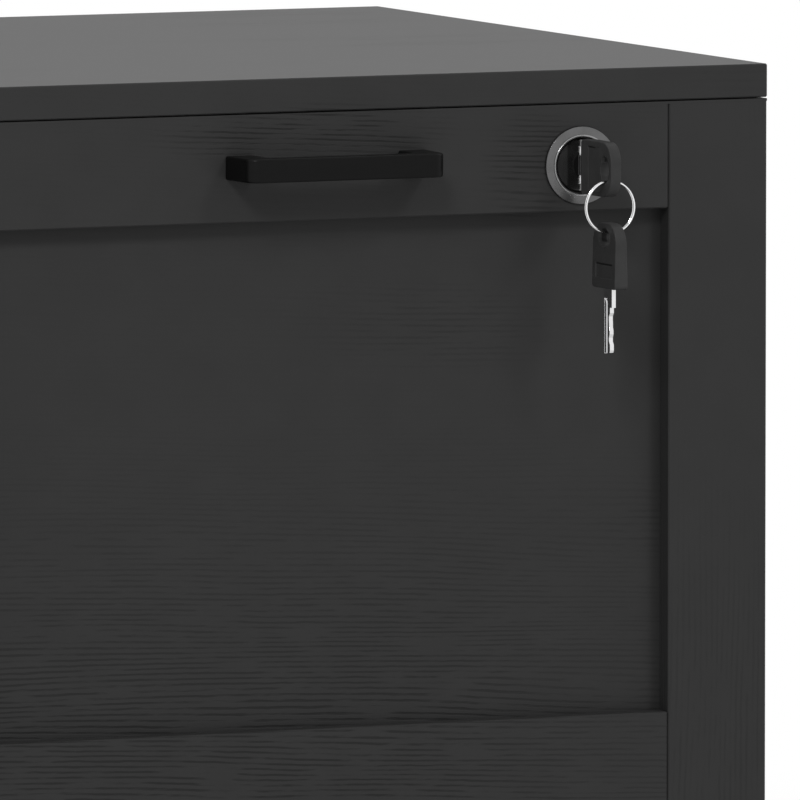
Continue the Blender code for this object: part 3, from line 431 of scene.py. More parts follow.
def softCorners(points, reach, steps=6):
    # each corner becomes a short curve: the quadratic blend of a point before it, the corner and a point
    # after it
    points = np.asarray(points, float)
    reach = np.broadcast_to(np.asarray(reach, float), len(points))[:, None]
    before = np.roll(points, 1, axis=0) - points
    after = np.roll(points, -1, axis=0) - points
    first = points + before * np.minimum(reach / np.linalg.norm(before, axis=1, keepdims=True), cornerLimit)
    last = points + after * np.minimum(reach / np.linalg.norm(after, axis=1, keepdims=True), cornerLimit)
    t = np.linspace(0, 1, steps)[None, :, None]
    curve = (1 - t) ** 2 * first[:, None] + 2 * t * (1 - t) * points[:, None] + t**2 * last[:, None]
    return curve.reshape(-1, points.shape[1])


def turnedAt(profile, steps, centre):
    # radius and outward height turned about the lock's axis: x = r cos a, z = r sin a, y = -height
    profile = np.concatenate([profile, profile[:1]])
    angle = np.linspace(0, 2 * math.pi, steps + 1)[:, None]
    radius = profile[None, :, 0]
    x = centre[0] + radius * np.cos(angle)
    z = centre[2] + radius * np.sin(angle)
    y = np.broadcast_to(centre[1] - profile[None, :, 1], x.shape)
    return np.stack([x, y, z], axis=-1)


# bar handles

handle = {   # lengths in metres, here and in the settings below
    "leg": 0.0147, "bar": 0.0085, "corner": 0.0060, "fillet": 0.0030, "taper": 0.0010, "edge": 0.0011,
    "lift": 0.0001,   # share of the legs that is left out at the board
    "runSteps": 24, "bendSteps": 20, "edgeSteps": 7,
}


def barHandle(low, high):
    # a rounded rectangle carried round a U: at each place it spans from the outer curve to the inner curve,
    # which run up one leg, round its corner and along the bar to the middle, then mirror
    half = (high[0] - low[0]) / 2
    reach = frontY - low[1]
    tip = half - handle["taper"]
    inner = half - handle["leg"]
    back = reach - handle["bar"]
    turn = np.linspace(0, math.pi / 2, handle["bendSteps"])
    up = np.linspace(handle["lift"], 1, handle["runSteps"])[:-1]
    along = np.linspace(0, 1, handle["runSteps"])[1:]
    corner, fillet = handle["corner"], handle["fillet"]
    outer = np.concatenate([
        np.stack([half + (tip - half) * up, up * (reach - corner)], 1),
        np.stack([tip - corner + corner * np.cos(turn), reach - corner + corner * np.sin(turn)], 1),
        np.stack([(tip - corner) * (1 - along), np.full_like(along, reach)], 1)])
    inside = np.concatenate([
        np.stack([np.full_like(up, inner), up * (back - fillet)], 1),
        np.stack([inner - fillet + fillet * np.cos(turn), back - fillet + fillet * np.sin(turn)], 1),
        np.stack([(inner - fillet) * (1 - along), np.full_like(along, back)], 1)])
    flip = np.array([-1.0, 1.0])
    outer = np.concatenate([outer, (outer * flip)[-2::-1]])
    inside = np.concatenate([inside, (inside * flip)[-2::-1]])
    tall = (high[2] - low[2]) / 2
    width = np.linalg.norm(outer - inside, axis=1)[:, None]
    count = handle["edgeSteps"]
    quarters = np.repeat([0.0, math.pi / 2, math.pi, 1.5 * math.pi], count)
    angle = quarters + np.tile(np.linspace(0, math.pi / 2, count), 4)
    signs = np.repeat([[1.0, 1.0], [-1.0, 1.0], [-1.0, -1.0], [1.0, -1.0]], count, axis=0)
    edge = handle["edge"]
    across = signs[:, 0] * (width / 2 - edge) + edge * np.cos(angle)
    height = signs[:, 1] * (tall - edge) + edge * np.sin(angle)
    across = np.concatenate([across, across[:, :1]], axis=1)
    height = np.concatenate([height, height[:1]])
    unit = (outer - inside) / width
    middle = (outer + inside) / 2
    flat = middle[:, None, :] + across[:, :, None] * unit[:, None, :]
    grid = np.stack([
        (low[0] + high[0]) / 2 + flat[..., 0],
        frontY - flat[..., 1],
        np.broadcast_to((low[2] + high[2]) / 2 + height[None, :], flat.shape[:2])], axis=-1)
    return capped(grid)


for level in ("upper", "lower"):
    handleLow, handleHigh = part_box(f"{level}_handle")
    pull = makePiece(f"{level}BarHandle", [barHandle(handleLow, handleHigh)], handlePaint,
                     f"{level}_drawer")
    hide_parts(f"{level}_handle")
print("handles made")


# edge bands

band = {
    "rise": 0.00045, "lap": 0.0008, "proud": 0.00004, "round": 0.0004, "lapRound": 0.00001, "stations": 12,
}


def edgeBand(low, high):
    # a thin slab carried along X over the top edge of a drawer front, with its upper long edges rounded
    top = high[2] + band["rise"]
    under = high[2] - band["lap"]
    front = frontY - band["proud"]
    corners = [(front, under), (front, top), (high[1], top), (high[1], under)]
    section = softCorners(corners, [band["lapRound"], band["round"], band["round"], band["lapRound"]])
    section = np.concatenate([section, section[:1]])
    x = np.linspace(low[0], high[0], band["stations"])[:, None]
    return capped(np.stack([x + 0 * section[None, :, 0], section[None, :, 0] + 0 * x,
                            section[None, :, 1] + 0 * x], axis=-1))


for level in ("upper", "lower"):
    makePiece(f"{level}EdgeBand", [edgeBand(*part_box(f"{level}_front_board"))], grainAcross, f"{level}_drawer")
print("edge bands made")


# lock trim

trim = {
    "profile": [(0.0187, 0.0003), (0.0168, 0.0003), (0.0168, 0.0014), (0.0138, 0.0014), (0.0138, 0.0022),
                (0.0149, 0.0022), (0.0184, 0.0014), (0.0187, 0.0008)],   # radius and outward height
    "soft": [0.0001, 0.0001, 0.0001, 0.0001, 0.0001, 0.0001, 0.00003, 0.0002],
    "beadAt": (0.01425, 0.0023), "bead": 0.0005, "beadSteps": 20, "steps": 192,
}
lockCentre = (lockX, frontY, lockZ)
trimGrid = turnedAt(softCorners(trim["profile"], trim["soft"]), trim["steps"], lockCentre)
trimPiece = makePiece("lockTrim", [trimGrid], trimMetal, "upper_drawer")
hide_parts("lock_trim_ring")
beadAngle = np.linspace(0, 2 * math.pi, trim["beadSteps"], endpoint=False)
beadLoop = trim["bead"] * np.stack([np.cos(beadAngle), np.sin(beadAngle)], axis=1)
beadGrid = turnedAt(np.array(trim["beadAt"]) + beadLoop, trim["steps"], lockCentre)
makePiece("lockTrimBead", [beadGrid], beadMetal, "upper_drawer")

keyway = {
    "reach": (0.00475, 0.0089), "side": -0.0006, "half": 0.0006, "floor": 0.00002, "rise": 0.00014,
    "round": 0.0003,
    "inset": (1.0, 1.0, 0.96, 0.90, 0.0),   # shares of the outline, from its foot to the middle of its top
    "climb": (0.0, 0.7, 0.95, 1.0, 1.0),    # and the shares of the rise there
}


def keywayStrip(sign):
    # a thin slab in the dial's channel, above or below the key's neck: a rounded outline raised in a
    # soft-edged step
    near, far = (place * sign for place in keyway["reach"])
    left, right = keyway["side"] - keyway["half"], keyway["side"] + keyway["half"]
    outline = softCorners([(left, near), (right, near), (right, far), (left, far)], keyway["round"])
    outline = np.concatenate([outline, outline[:1]])
    middle = outline[:-1].mean(axis=0)
    level = np.array(keyway["climb"]) * keyway["rise"] + keyway["floor"]
    flat = middle + (outline - middle)[None] * np.array(keyway["inset"])[:, None, None]
    height = np.broadcast_to(level[:, None], flat.shape[:2])
    top = np.stack([lockX + flat[..., 0], frontY - height, lockZ + flat[..., 1]], axis=-1)
    foot = top[:1]
    base = np.concatenate([foot, np.broadcast_to(foot.mean(axis=1, keepdims=True), foot.shape)])
    return [top, base]


makePiece("keywayLiner", keywayStrip(1) + keywayStrip(-1), brightMetal, "lock")

grip = {
    "length": 0.0140, "width": 0.0082, "skin": 0.00004, "channel": 0.0015, "top": 0.00136, "under": 0.0003,
    "bulge": 0.00008, "rim": 0.0002, "tallSteps": 61, "wideSteps": 9, "rimSteps": 6,
}


def gripHalf(sign):
    # half of the lens beside the keyway: x runs from the channel to an arc, height bulges as 1 - (2f - 1)^2
    # between them, then a quarter round turns down at the arc to the dial
    reach = (grip["length"] ** 2 + grip["width"] ** 2) / (4 * grip["width"])
    centre = reach - grip["width"] / 2
    radius = reach + grip["skin"]
    tall = math.sqrt(radius**2 - (centre + grip["channel"]) ** 2)
    z = np.linspace(-tall, tall, grip["tallSteps"])[:, None]
    f = np.linspace(0, 1, grip["wideSteps"])[None, :]
    turn = np.linspace(0, math.pi / 2, grip["rimSteps"])[None, :]
    arc = np.maximum(np.sqrt(radius**2 - z**2) - centre, grip["channel"])
    rim = np.minimum(grip["rim"], arc - grip["channel"])
    x = grip["channel"] + (arc - rim - grip["channel"]) * f
    top = grip["top"] + grip["bulge"] * (1 - (2 * f - 1) ** 2) + 0 * z
    roundX = arc - rim + rim * np.sin(turn)
    roundTop = grip["top"] - rim * (1 - np.cos(turn))
    floor = 0 * z + grip["under"]
    loopX = np.concatenate([x, roundX, arc, x[:, :1], x[:, :1]], axis=1)
    height = np.concatenate([top, roundTop, floor, floor, top[:, :1]], axis=1)
    return capped(np.stack([lockX + sign * loopX, frontY - height, lockZ + z + 0 * loopX], axis=-1))


makePiece("dialGripCaps", [gripHalf(-1), gripHalf(1)], gripSatin, "lock")
print("lock trim made")


# keys

key = {
    "headLength": 0.0310, "headWidth": 0.0260, "thickness": 0.0069, "taper": 0.0015, "corner": 0.0020,
    "outerCorner": 0.0097, "edge": 0.0005, "holeEdge": 0.0003,
    "cornerSteps": 24, "outerSteps": 60, "outlineSteps": 341, "raySteps": 84, "edgeSteps": 6,
    "holeLength": 0.0130, "holeWidth": 0.0068, "holeWall": 0.0036, "holeSteps": 200,
    # the hole's strip of painted shade: half its width, how far it stands out of and into the wall, and its
    # steps
    "shadeHalf": 0.0013, "shadeOut": 0.00003, "shadeIn": 0.00004, "shadeSteps": 40,
    "labelInset": 0.0045, "labelLength": 0.0076, "labelWidth": 0.0186, "labelDepth": 0.00035,
    "labelSoft": 0.0005, "fieldLength": 0.0076,
    # the dark bead along one edge of the label, whose colour is painted shade
    "lineWidth": 0.0008, "lineRise": 0.00015, "lineGap": 0.0003, "lineSideGap": 0.0002,
    "lineInset": 0.7,                     # from the label's edge to the line's middle, in line widths
    "lineSteps": 40, "archSteps": 11,
    "steel": 0.0021, "neckWidth": 0.0094, "neckLength": 0.0091, "tangWidth": 0.0084, "tangLength": 0.0120,
    "bladeWidth": 0.0074, "bladeLength": 0.0223, "clear": 0.0003, "bladeEdge": 0.0002, "ledge": 0.00004,
    "bladeSteps": 330, "bladeEdgeSteps": 5,
    "cuts": (0.0001, 0.0013, 0.0011, 0.0005, 0.0012, 0.0001),
    "tip": 0.0020,                        # its length; the four rows below are shares of it
    "tipAt": (1.0, 0.4, 0.1, 0.0),        # places on the lower edge, back from the end
    "tipRise": (0.0, 0.3, 0.75, 1.3),     # and how far the edge has risen there
    "spineAt": (0.5, 0.1, 0.0),           # places on the back edge
    "spineFall": (0.0, 0.2, 0.6),         # and how far it has fallen there
    "grooveWidth": 0.0036, "grooveDepth": 0.0010, "grooveRim": 0.0009, "grooveWall": 0.00012,
    "grooveRunOut": 0.0030, "backStep": 0.0005,
    "grooveSteps": (26, 6, 12, 8),        # below the groove, on each wall, on its floor and above it
}


def arcPoints(centre, radius, start, end, steps):
    angle = np.linspace(start, end, steps)
    return np.stack([centre[0] + radius * np.cos(angle), centre[1] + radius * np.sin(angle)], axis=1)


def evenly(points, count):
    # the same closed outline with its points spaced evenly along it
    points = np.concatenate([points, points[:1]])
    run = np.concatenate([[0], np.cumsum(np.linalg.norm(np.diff(points, axis=0), axis=1))])
    place = np.linspace(0, run[-1], count)
    return np.stack([np.interp(place, run, points[:, 0]), np.interp(place, run, points[:, 1])], axis=1)


def headOutline(shape):
    half = shape["headWidth"] / 2
    flat = -shape["neckLength"]
    corner, outer = shape["corner"], shape["outerCorner"]
    end = flat - shape["headLength"]
    quarter = math.pi / 2
    return np.concatenate([
        arcPoints((flat - corner, half - corner), corner, 0, quarter, shape["cornerSteps"]),
        arcPoints((end + outer, half - outer), outer, quarter, 2 * quarter, shape["outerSteps"]),
        arcPoints((end + outer, outer - half), outer, 2 * quarter, 3 * quarter, shape["outerSteps"]),
        arcPoints((flat - corner, corner - half), corner, -quarter, 0, shape["cornerSteps"])])


def headHalf(shape, along):
    # half the head's thickness, which falls evenly from its flat end
    gone = (-shape["neckLength"] - along) / shape["headLength"]
    return shape["thickness"] / 2 - gone * shape["taper"] / 2


def holeMiddle(shape):
    return shape["holeWidth"] / 2 + shape["holeWall"] - shape["headLength"] - shape["neckLength"]


def labelPaintedShade(shape, place):
    # a thin dark bead on the label's floor, on both faces, whose near-black colour is painted shade for the
    # shadowed edge of the label recess: a low arch, height = rise (1 - c^4), carried along one edge
    labelEnd = -shape["neckLength"] - shape["labelInset"]
    width = shape["lineWidth"]
    inset = width * shape["lineInset"]
    f = np.linspace(0, 1, shape["lineSteps"])[:, None]
    c = np.concatenate([np.linspace(-1, 1, shape["archSteps"]), [-1.0]])[None, :]
    if shape["lengthwise"]:
        along = labelEnd - shape["lineGap"] - f * (shape["labelLength"] - 2 * shape["lineGap"]) + 0 * c
        wide = shape["labelWidth"] / 2 - inset + c * width / 2 + 0 * f
    else:
        along = labelEnd - shape["labelLength"] + inset + c * width / 2 + 0 * f
        wide = (f - 0.5) * (shape["labelWidth"] - 2 * shape["lineSideGap"]) + 0 * c
    level = headHalf(shape, along) - shape["labelDepth"] + shape["lineRise"] * (1 - c**4) + 0 * f
    upper = np.stack([along, wide, level], axis=-1)
    return [capped(place(upper)), capped(place(upper * [1, 1, -1]))]


def keyHeadGrid(shape, place):
    # rays run from the hole's edge out to the head's outline; each carries a section with rounded ends,
    # thinned towards the outer end and sunk in the label field
    centre = np.array([holeMiddle(shape), 0.0])
    outer = evenly(headOutline(shape), shape["outlineSteps"]) - centre
    run = (shape["holeLength"] - shape["holeWidth"]) / 2
    radius = shape["holeWidth"] / 2
    slotEdge = np.concatenate([arcPoints((0, run), radius, 0, math.pi, shape["holeSteps"]),
                               arcPoints((0, -run), radius, math.pi, 2 * math.pi, shape["holeSteps"])])
    slotAngle = np.unwrap(np.arctan2(slotEdge[:, 1], slotEdge[:, 0]))
    order = np.argsort(slotAngle % (2 * math.pi))
    slotReach = np.linalg.norm(slotEdge, axis=1)
    angle = np.arctan2(outer[:, 1], outer[:, 0])
    holeReach = np.interp(angle % (2 * math.pi), slotAngle[order] % (2 * math.pi), slotReach[order],
                          period=2 * math.pi)
    unit = outer / np.linalg.norm(outer, axis=1, keepdims=True)
    length = np.linalg.norm(outer, axis=1) - holeReach
    turn = np.linspace(0, math.pi / 2, shape["edgeSteps"])
    inEdge, outEdge = shape["holeEdge"], shape["edge"]
    fraction = np.linspace(0, 1, shape["raySteps"])[1:-1]
    steps = [inEdge * (1 - np.cos(turn))[None, :] + 0 * length[:, None],
             inEdge + fraction[None, :] * (length[:, None] - inEdge - outEdge),
             length[:, None] - outEdge * (1 - np.cos(turn[::-1]))[None, :]]
    drop = np.concatenate([inEdge * (1 - np.sin(turn)), 0 * fraction, outEdge * (1 - np.sin(turn[::-1]))])
    outward = np.concatenate(steps, axis=1)
    flat = centre + unit[:, None, :] * (holeReach[:, None] + outward)[..., None]
    along, wide = flat[..., 0], flat[..., 1]
    labelEnd = -shape["neckLength"] - shape["labelInset"]
    soft = shape["labelSoft"]
    label = smoothStep((shape["labelWidth"] / 2 - np.abs(wide)) / soft)
    label = label * smoothStep((labelEnd - along) / soft)
    label = label * smoothStep((along - labelEnd + shape["fieldLength"]) / soft)
    level = headHalf(shape, along) - shape["labelDepth"] * label - drop[None, :]
    upper = np.stack([along, wide, level], axis=-1)
    lower = (upper * [1, 1, -1])[:, ::-1]
    loop = np.concatenate([upper, lower, upper[:, :1]], axis=1)
    return place(loop)


def holePaintedShade(shape, place):
    # a thin near-black strip deep in the hole, part of the way round one end, whose colour is painted shade for
    # the shaded inside of the hole: an arc carried round a flat rectangle
    run = (shape["holeLength"] - shape["holeWidth"]) / 2
    outside, inside = shape["shadeOut"], -shape["shadeIn"]
    radius = shape["holeWidth"] / 2 + np.array([outside, outside, inside, inside, outside])[None, :]
    level = np.array([-1.0, 1.0, 1.0, -1.0, -1.0])[None, :] * shape["shadeHalf"]
    angle = np.linspace(*np.radians(shape["shadeArc"]), shape["shadeSteps"])[:, None]
    along = holeMiddle(shape) + radius * np.cos(angle)
    wide = run + radius * np.sin(angle)
    return capped(place(np.stack([along, wide, level + 0 * along], axis=-1)))


def keyBladeGrid(shape, place):
    # a section carried from the tang to the tip: at each station it spans from the lower edge, with its cuts,
    # to the back edge, with rounded corners and a milled groove sunk in one face
    back = shape["neckWidth"] / 2
    crest = back - shape["bladeWidth"]
    spine = back - shape["backStep"]
    tang = shape["tangWidth"] / 2
    head = -shape["neckLength"] + shape["clear"]
    end, tip = shape["bladeLength"], shape["tip"]
    ledge, grooveStart = shape["ledge"], -shape["grooveStart"]
    cuts = np.array(shape["cuts"])
    pitch = (end - tip) / len(cuts)
    middle = pitch * (np.arange(len(cuts)) + 0.5)
    headAt = [head - shape["tangLength"], head - ledge, head]
    lowAt = np.concatenate([headAt, [-ledge, 0],
                            np.stack([middle - pitch / 4, middle + pitch / 4], 1).ravel(),
                            end - tip * np.array(shape["tipAt"])])
    lowTo = np.concatenate([[-tang, -tang, -back, -back, crest], np.repeat(crest + cuts, 2),
                            crest + tip * np.array(shape["tipRise"])])
    highAt = np.concatenate([headAt, [grooveStart - ledge, grooveStart],
                             end - tip * np.array(shape["spineAt"])])
    highTo = np.concatenate([[tang, tang, back, back, spine], spine - tip * np.array(shape["spineFall"])])
    edge = shape["bladeEdge"]
    turn = np.linspace(0, math.pi / 2, shape["bladeEdgeSteps"])
    stations = np.unique(np.concatenate([np.linspace(lowAt[0], end, shape["bladeSteps"]), lowAt, highAt,
                                         end - edge * (1 - np.cos(turn))]))
    low = np.interp(stations, lowAt, lowTo)[:, None]
    high = np.interp(stations, highAt, highTo)[:, None]
    half = shape["steel"] / 2
    turn = turn[None, :]
    wall = shape["grooveWall"]
    grooveHigh = back - shape["grooveRim"]
    grooveLow = grooveHigh - shape["grooveWidth"]
    below, slope, bottom, above = shape["grooveSteps"]
    fixed = np.concatenate([
        np.linspace(-back, grooveLow, below)[1:-1], grooveLow + wall * np.linspace(0, 1, slope),
        np.linspace(grooveLow + wall, grooveHigh - wall, bottom)[1:-1],
        grooveHigh - wall * np.linspace(1, 0, slope), np.linspace(grooveHigh, back, above)[1:-1]])
    inside = np.clip(fixed[None, :], low + edge, high - edge)
    across = np.concatenate([low + edge * (1 - np.cos(turn)), inside,
                             high - edge * (1 - np.cos(turn[:, ::-1]))], axis=1)
    drop = np.concatenate([edge * (1 - np.sin(turn)), 0 * fixed[None, :],
                           edge * (1 - np.sin(turn[:, ::-1]))], axis=1)
    level = np.broadcast_to(half - drop, across.shape)
    groove = smoothStep((grooveHigh - across) / wall) * smoothStep((across - grooveLow) / wall)
    runOut = np.sqrt(np.clip((stations - grooveStart) / shape["grooveRunOut"], 0, 1))[:, None]
    sunk = -level + shape["grooveDepth"] * groove * runOut
    along = np.broadcast_to(stations[:, None], across.shape)
    upper = np.stack([along, across, level], axis=-1)
    lower = np.stack([along, across, sunk], axis=-1)[:, ::-1]
    loop = np.concatenate([upper, lower, upper[:, :1]], axis=1)
    return place(capped(loop))


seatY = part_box("key_blade")[1][1] - key["bladeLength"]
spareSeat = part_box("spare_key_blade")[0][2] + key["bladeLength"]
headLow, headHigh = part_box("spare_key_head")
ringY = (headLow[1] + headHigh[1]) / 2


def inLock(loop):
    return np.stack([lockX + loop[..., 2], seatY + loop[..., 0], lockZ + loop[..., 1]], axis=-1)


def hanging(loop):
    return np.stack([lockX + loop[..., 2], ringY + loop[..., 1], spareSeat - loop[..., 0]], axis=-1)


# shadeArc gives, in degrees, where round the hole's end the strip of painted shade runs
keyOwn = {
    "lengthwise": True, "grooveStart": 0.0, "neckLength": 0.0076, "headLength": 0.0325, "labelInset": 0.0075,
    "labelWidth": 0.0214, "fieldLength": 0.0130, "shadeArc": (10, 110), "bladeEdge": 0.00006,
}
spareOwn = {"lengthwise": False, "grooveStart": 0.0042, "shadeArc": (48, 165)}
keyPair = (("key", "key", inLock, keyOwn), ("spareKey", "spare_key", hanging, spareOwn))
for title, node, place, own in keyPair:
    shape = dict(key, **own)
    headPiece = makePiece(f"{title}Head", [keyHeadGrid(shape, place)], headPlastic, node,
                          sharp=50)
    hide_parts(f"{node}_head")
    # dark pieces whose colour is painted shade, along the label's edge and inside the hole
    makePiece(f"{title}LabelPaintedShade", labelPaintedShade(shape, place), paintedShadePlastic, node, sharp=60)
    makePiece(f"{title}HolePaintedShade", [holePaintedShade(shape, place)], paintedShadePlastic, node, sharp=60)
    bladePiece = makePiece(f"{title}Blade", [keyBladeGrid(shape, place)], brightMetal, node,
                           sharp=30)
    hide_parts(f"{node}_blade")
print("keys made")


# split ring

ring = {
    "radius": 0.0123, "wire": 0.0009, "pitch": 0.00135, "turns": 2, "start": -math.pi / 2,
    "endRadius": 0.36,   # at the wire's two ends, as a share of its thickness
    "steps": 280, "sideSteps": 17,
}


def ringGrid(low, high):
    # a round wire carried along a close two-turn helix about Y, with its ends drawn in
    centre = (np.array(low) + np.array(high)) / 2
    centre[0] = lockX
    turns = np.linspace(0, ring["turns"], ring["steps"])
    angle = ring["start"] + 2 * math.pi * turns
    outward = np.stack([np.cos(angle), np.zeros_like(angle), np.sin(angle)], axis=1)
    path = outward * ring["radius"]
    path[:, 1] = ring["pitch"] * (turns - ring["turns"] / 2)
    side = np.linspace(0, 2 * math.pi, ring["sideSteps"])
    wire = np.full(len(turns), ring["wire"] / 2)
    wire[[0, -1]] = ring["wire"] * ring["endRadius"]
    loop = outward[:, None, :] * np.cos(side)[None, :, None]
    loop = loop + np.array([0.0, 1.0, 0.0]) * np.sin(side)[None, :, None]
    return capped(centre + path[:, None, :] + loop * wire[:, None, None])


ringPiece = makePiece("splitRing", [ringGrid(*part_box("key_ring"))], ringMetal, "key_ring", sharp=60)
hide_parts("key_ring")
print("split ring made")


# screws and buffers

domeForm = {"fall": 0.4, "rim": 0.97, "rings": 16, "steps": 49}
screw = {
    "radius": 0.0030, "rise": 0.0015, "arm": 0.00042, "armSoft": 0.00025, "reach": 0.62, "reachSoft": 0.12,
    "depth": 0.0009,
}
buffer = {"radius": 0.0036, "rise": 0.0016, "inset": 0.018}
fixing = {
    "railSide": 0.0055, "railIn": 0.002, "railUp": 0.008,
    "strikeSide": 0.010, "strikeIn": 0.006, "strikeSteel": 0.0015,
    "backSide": 0.016, "backEnd": 0.010, "backColumns": 4, "backRows": 6,
}


def dome(centre, axis, radius, rise, crossDepth=0.0):
    # a low dome turned about its axis: height = rise (1 - fall r^2), less a cross-shaped dip where it takes a
    # driver; its last two places are the foot of the rim and the middle of the underside
    r = np.concatenate([np.linspace(0, domeForm["rim"], domeForm["rings"]), [1.0, 1.0, 0.0]])[None, :]
    raised = np.concatenate([np.ones(domeForm["rings"] + 1), [0, 0]])[None, :]
    angle = np.linspace(0, 2 * math.pi, domeForm["steps"])[:, None]
    u = radius * r * np.cos(angle)
    v = radius * r * np.sin(angle)
    arms = [smoothStep((screw["arm"] - np.abs(away)) / screw["armSoft"] + 0.5) for away in (u, v)]
    dip = crossDepth * np.maximum(*arms) * smoothStep((screw["reach"] - r) / screw["reachSoft"] + 0.5)
    height = (rise * (1 - domeForm["fall"] * r**2) - dip) * raised
    x, y, z = centre
    if axis == "back":
        return np.stack([x + u, y + height, z + v], axis=-1)
    return np.stack([x + u, y + v, z - height], axis=-1)


def screwHeads(name, body, axis, places):
    grids = [dome(place, axis, screw["radius"], screw["rise"], screw["depth"]) for place in places]
    makePiece(name, grids, zincMetal, body, sharp=45)


sideMiddle = (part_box("right_side_panel")[0][0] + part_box("right_side_panel")[1][0]) / 2
for level in ("upper", "lower"):
    handleLow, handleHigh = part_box(f"{level}_handle")
    legX = (handleHigh[0] - handleLow[0] - handle["leg"]) / 2
    handleZ = (handleLow[2] + handleHigh[2]) / 2
    screwHeads(f"{level}HandleScrews", f"{level}_drawer", "back",
               [(-legX, frontBackY, handleZ), (legX, frontBackY, handleZ)])
    feet = []
    for side in ("left", "right"):
        railLow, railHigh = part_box(f"{level}_{side}_file_rail")
        railX = (railLow[0] + railHigh[0]) / 2
        for footX in (railX - fixing["railSide"], railX + fixing["railSide"]):
            feet.append((footX, railLow[1] + fixing["railIn"], railLow[2] + fixing["railUp"]))
    screwHeads(f"{level}FileRailScrews", f"{level}_drawer", "back", feet)
    boardLow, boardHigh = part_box(f"{level}_front_board")
    pads = [dome((x, frontBackY, z), "back", buffer["radius"], buffer["rise"])
            for x in (-sideMiddle, sideMiddle)
            for z in (boardLow[2] + buffer["inset"], boardHigh[2] - buffer["inset"])]
    makePiece(f"{level}FrontBuffers", pads, footPlastic, f"{level}_drawer")

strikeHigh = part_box("lock_strike")[1]
strikeY = strikeHigh[1] - fixing["strikeIn"]
strikeUnder = strikeHigh[2] - fixing["strikeSteel"]
screwHeads("strikeScrews", "cabinet", "down",
           [(x, strikeY, strikeUnder) for x in (lockX - fixing["strikeSide"], lockX + fixing["strikeSide"])])
backLow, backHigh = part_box("back_panel")
backX = np.linspace(backLow[0] + fixing["backSide"], backHigh[0] - fixing["backSide"], fixing["backColumns"])
backZ = np.linspace(backLow[2] + fixing["backEnd"], backHigh[2] - fixing["backEnd"], fixing["backRows"])
border = []
for z in backZ:
    row = backX if z in (backZ[0], backZ[-1]) else backX[[0, -1]]
    border += [(x, backHigh[1], z) for x in row]
screwHeads("backPanelScrews", "cabinet", "back", border)
print("screws and buffers made")


# studio

studio = {
    "dim": 0.48,              # the white world's strength on surfaces, beside 1 where it is seen
    "floorHalf": 40, "floorPoints": 3, "floorDrop": 0.0005, "floorTone": 0.88, "floorTones": (0.87, 0.89),
    "floorRough": 0.7, "floorCells": 1.5,
    "fade": (0.8, 3.5),       # distances between which the floor turns into the backdrop
}
lamps = {
    "keyLamp": {"place": (-1.98, -3.15, 3.1), "size": 1.0, "power": 70.0, "mirrored": True},
    "fillLamp": {"place": (1.72, -3.06, 3.36), "size": 0.9, "power": 48.0, "mirrored": False},
}
lampAim = (0.0, -0.2, 0.5)
camera = {
    "from": (-3.08083, -6.50978, 0.49812),   # counted from the top panel's front right upper corner
    "yaw": 0.417651724, "pitch": 0.0913435141, "lens": 679.805, "sensor": 36.0, "clip": (0.1, 300.0),
}


def seenRay(tree):
    # 1 for rays that the viewer sees directly, in a mirror or through glass, otherwise 0
    path = addNode(tree, "ShaderNodeLightPath").outputs
    seen = calc(tree, "MAXIMUM", path["Is Camera Ray"], path["Is Glossy Ray"])
    return calc(tree, "MAXIMUM", seen, path["Is Transmission Ray"])


def makeWorld():
    world = bpy.data.worlds.new("studio")
    bpy.context.scene.world = world
    world.use_nodes = True
    tree = world.node_tree
    tree.nodes.clear()
    values = {"Value": seenRay(tree), "To Min": studio["dim"], "To Max": 1.0}
    strength = addNode(tree, "ShaderNodeMapRange", values).outputs[0]
    back = addNode(tree, "ShaderNodeBackground", {"Color": grey(1.0), "Strength": strength})
    out = addNode(tree, "ShaderNodeOutputWorld")
    tree.links.new(back.outputs[0], out.inputs[0])


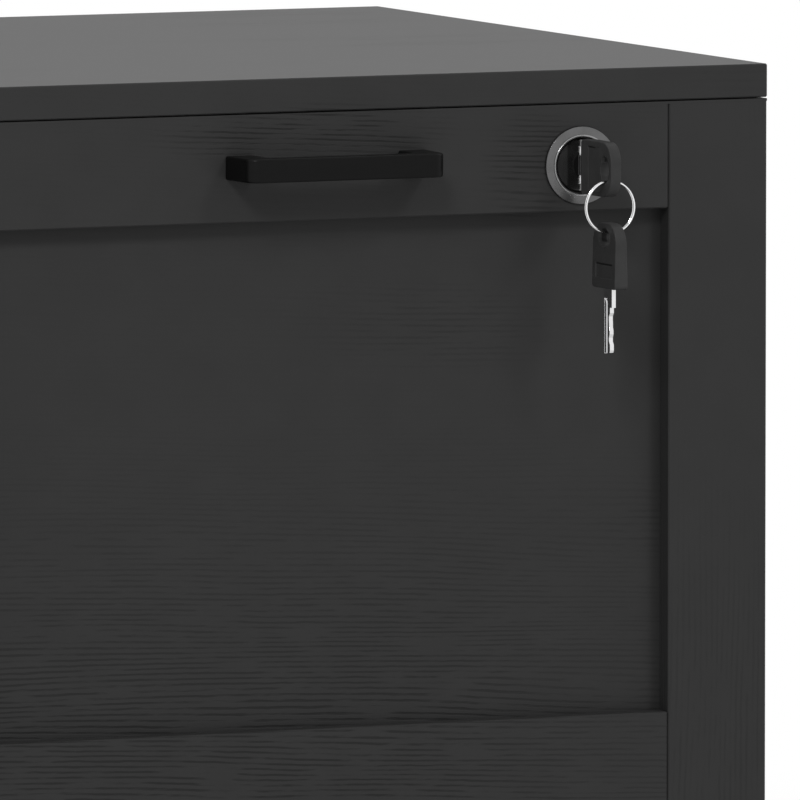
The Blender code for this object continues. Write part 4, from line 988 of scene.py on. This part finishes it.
def makeFloor():
    # a flat square whose surface, away from the object and its shadow, turns into the white backdrop
    count = studio["floorPoints"]
    span = np.linspace(-studio["floorHalf"], studio["floorHalf"], count)
    x, y = np.meshgrid(span, span, indexing="ij")
    grid = np.stack([x, y, np.full_like(x, -studio["floorDrop"])], axis=-1).reshape(-1, 3)
    mesh = bpy.data.meshes.new("studioFloor")
    mesh.from_pydata(grid.tolist(), [], gridQuads(count, count).tolist())
    values = {"Base Color": grey(studio["floorTone"]), "Roughness": studio["floorRough"]}
    material, tree, shader, start = newFinish("paleFloor", values)
    cloud = evenNoise(tree, start, studio["floorCells"], detail=3.0)
    dark, light = (grey(tone) for tone in studio["floorTones"])
    tree.links.new(mixColour(tree, cloud, dark, light), shader.inputs["Base Color"])
    distance = addNode(tree, "ShaderNodeVectorMath", {0: start}, operation="LENGTH").outputs["Value"]
    far = calc(tree, "MULTIPLY", remap(tree, distance, *studio["fade"]), seenRay(tree))
    glow = addNode(tree, "ShaderNodeEmission", {"Color": grey(1.0), "Strength": 1.0})
    blend = addNode(tree, "ShaderNodeMixShader", {0: far, 1: shader.outputs[0], 2: glow.outputs[0]})
    tree.links.new(blend.outputs[0], tree.nodes["Material Output"].inputs["Surface"])
    mesh.materials.append(material)
    floor = bpy.data.objects.new("studioFloor", mesh)
    bpy.context.scene.collection.objects.link(floor)


def makeLamp(name, place, size, power, mirrored):
    light = bpy.data.lights.new(name, "AREA")
    light.shape = "DISK"
    light.size = size
    light.energy = power
    lamp = bpy.data.objects.new(name, light)
    bpy.context.scene.collection.objects.link(lamp)
    lamp.location = place
    aim = np.array(lampAim) - np.array(place)
    tilt = math.acos(-aim[2] / np.linalg.norm(aim))
    lamp.rotation_euler = (tilt, 0, math.atan2(aim[1], aim[0]) - math.pi / 2)
    lamp.visible_glossy = mirrored


def makeCamera():
    lens = bpy.data.cameras.new("photoCamera")
    lens.lens = camera["lens"]
    lens.sensor_width = camera["sensor"]
    lens.clip_start, lens.clip_end = camera["clip"]
    view = bpy.data.objects.new("photoCamera", lens)
    bpy.context.scene.collection.objects.link(view)
    corner = np.array([topHigh[0], topLow[1], topHigh[2]])
    view.location = corner + np.array(camera["from"])
    view.rotation_euler = (math.pi / 2 - camera["pitch"], 0, -camera["yaw"])
    bpy.context.scene.camera = view


makeWorld()
makeFloor()
for lampName, lampValues in lamps.items():
    makeLamp(lampName, **lampValues)
makeCamera()
bpy.context.scene.view_settings.view_transform = "Standard"
print("studio made")
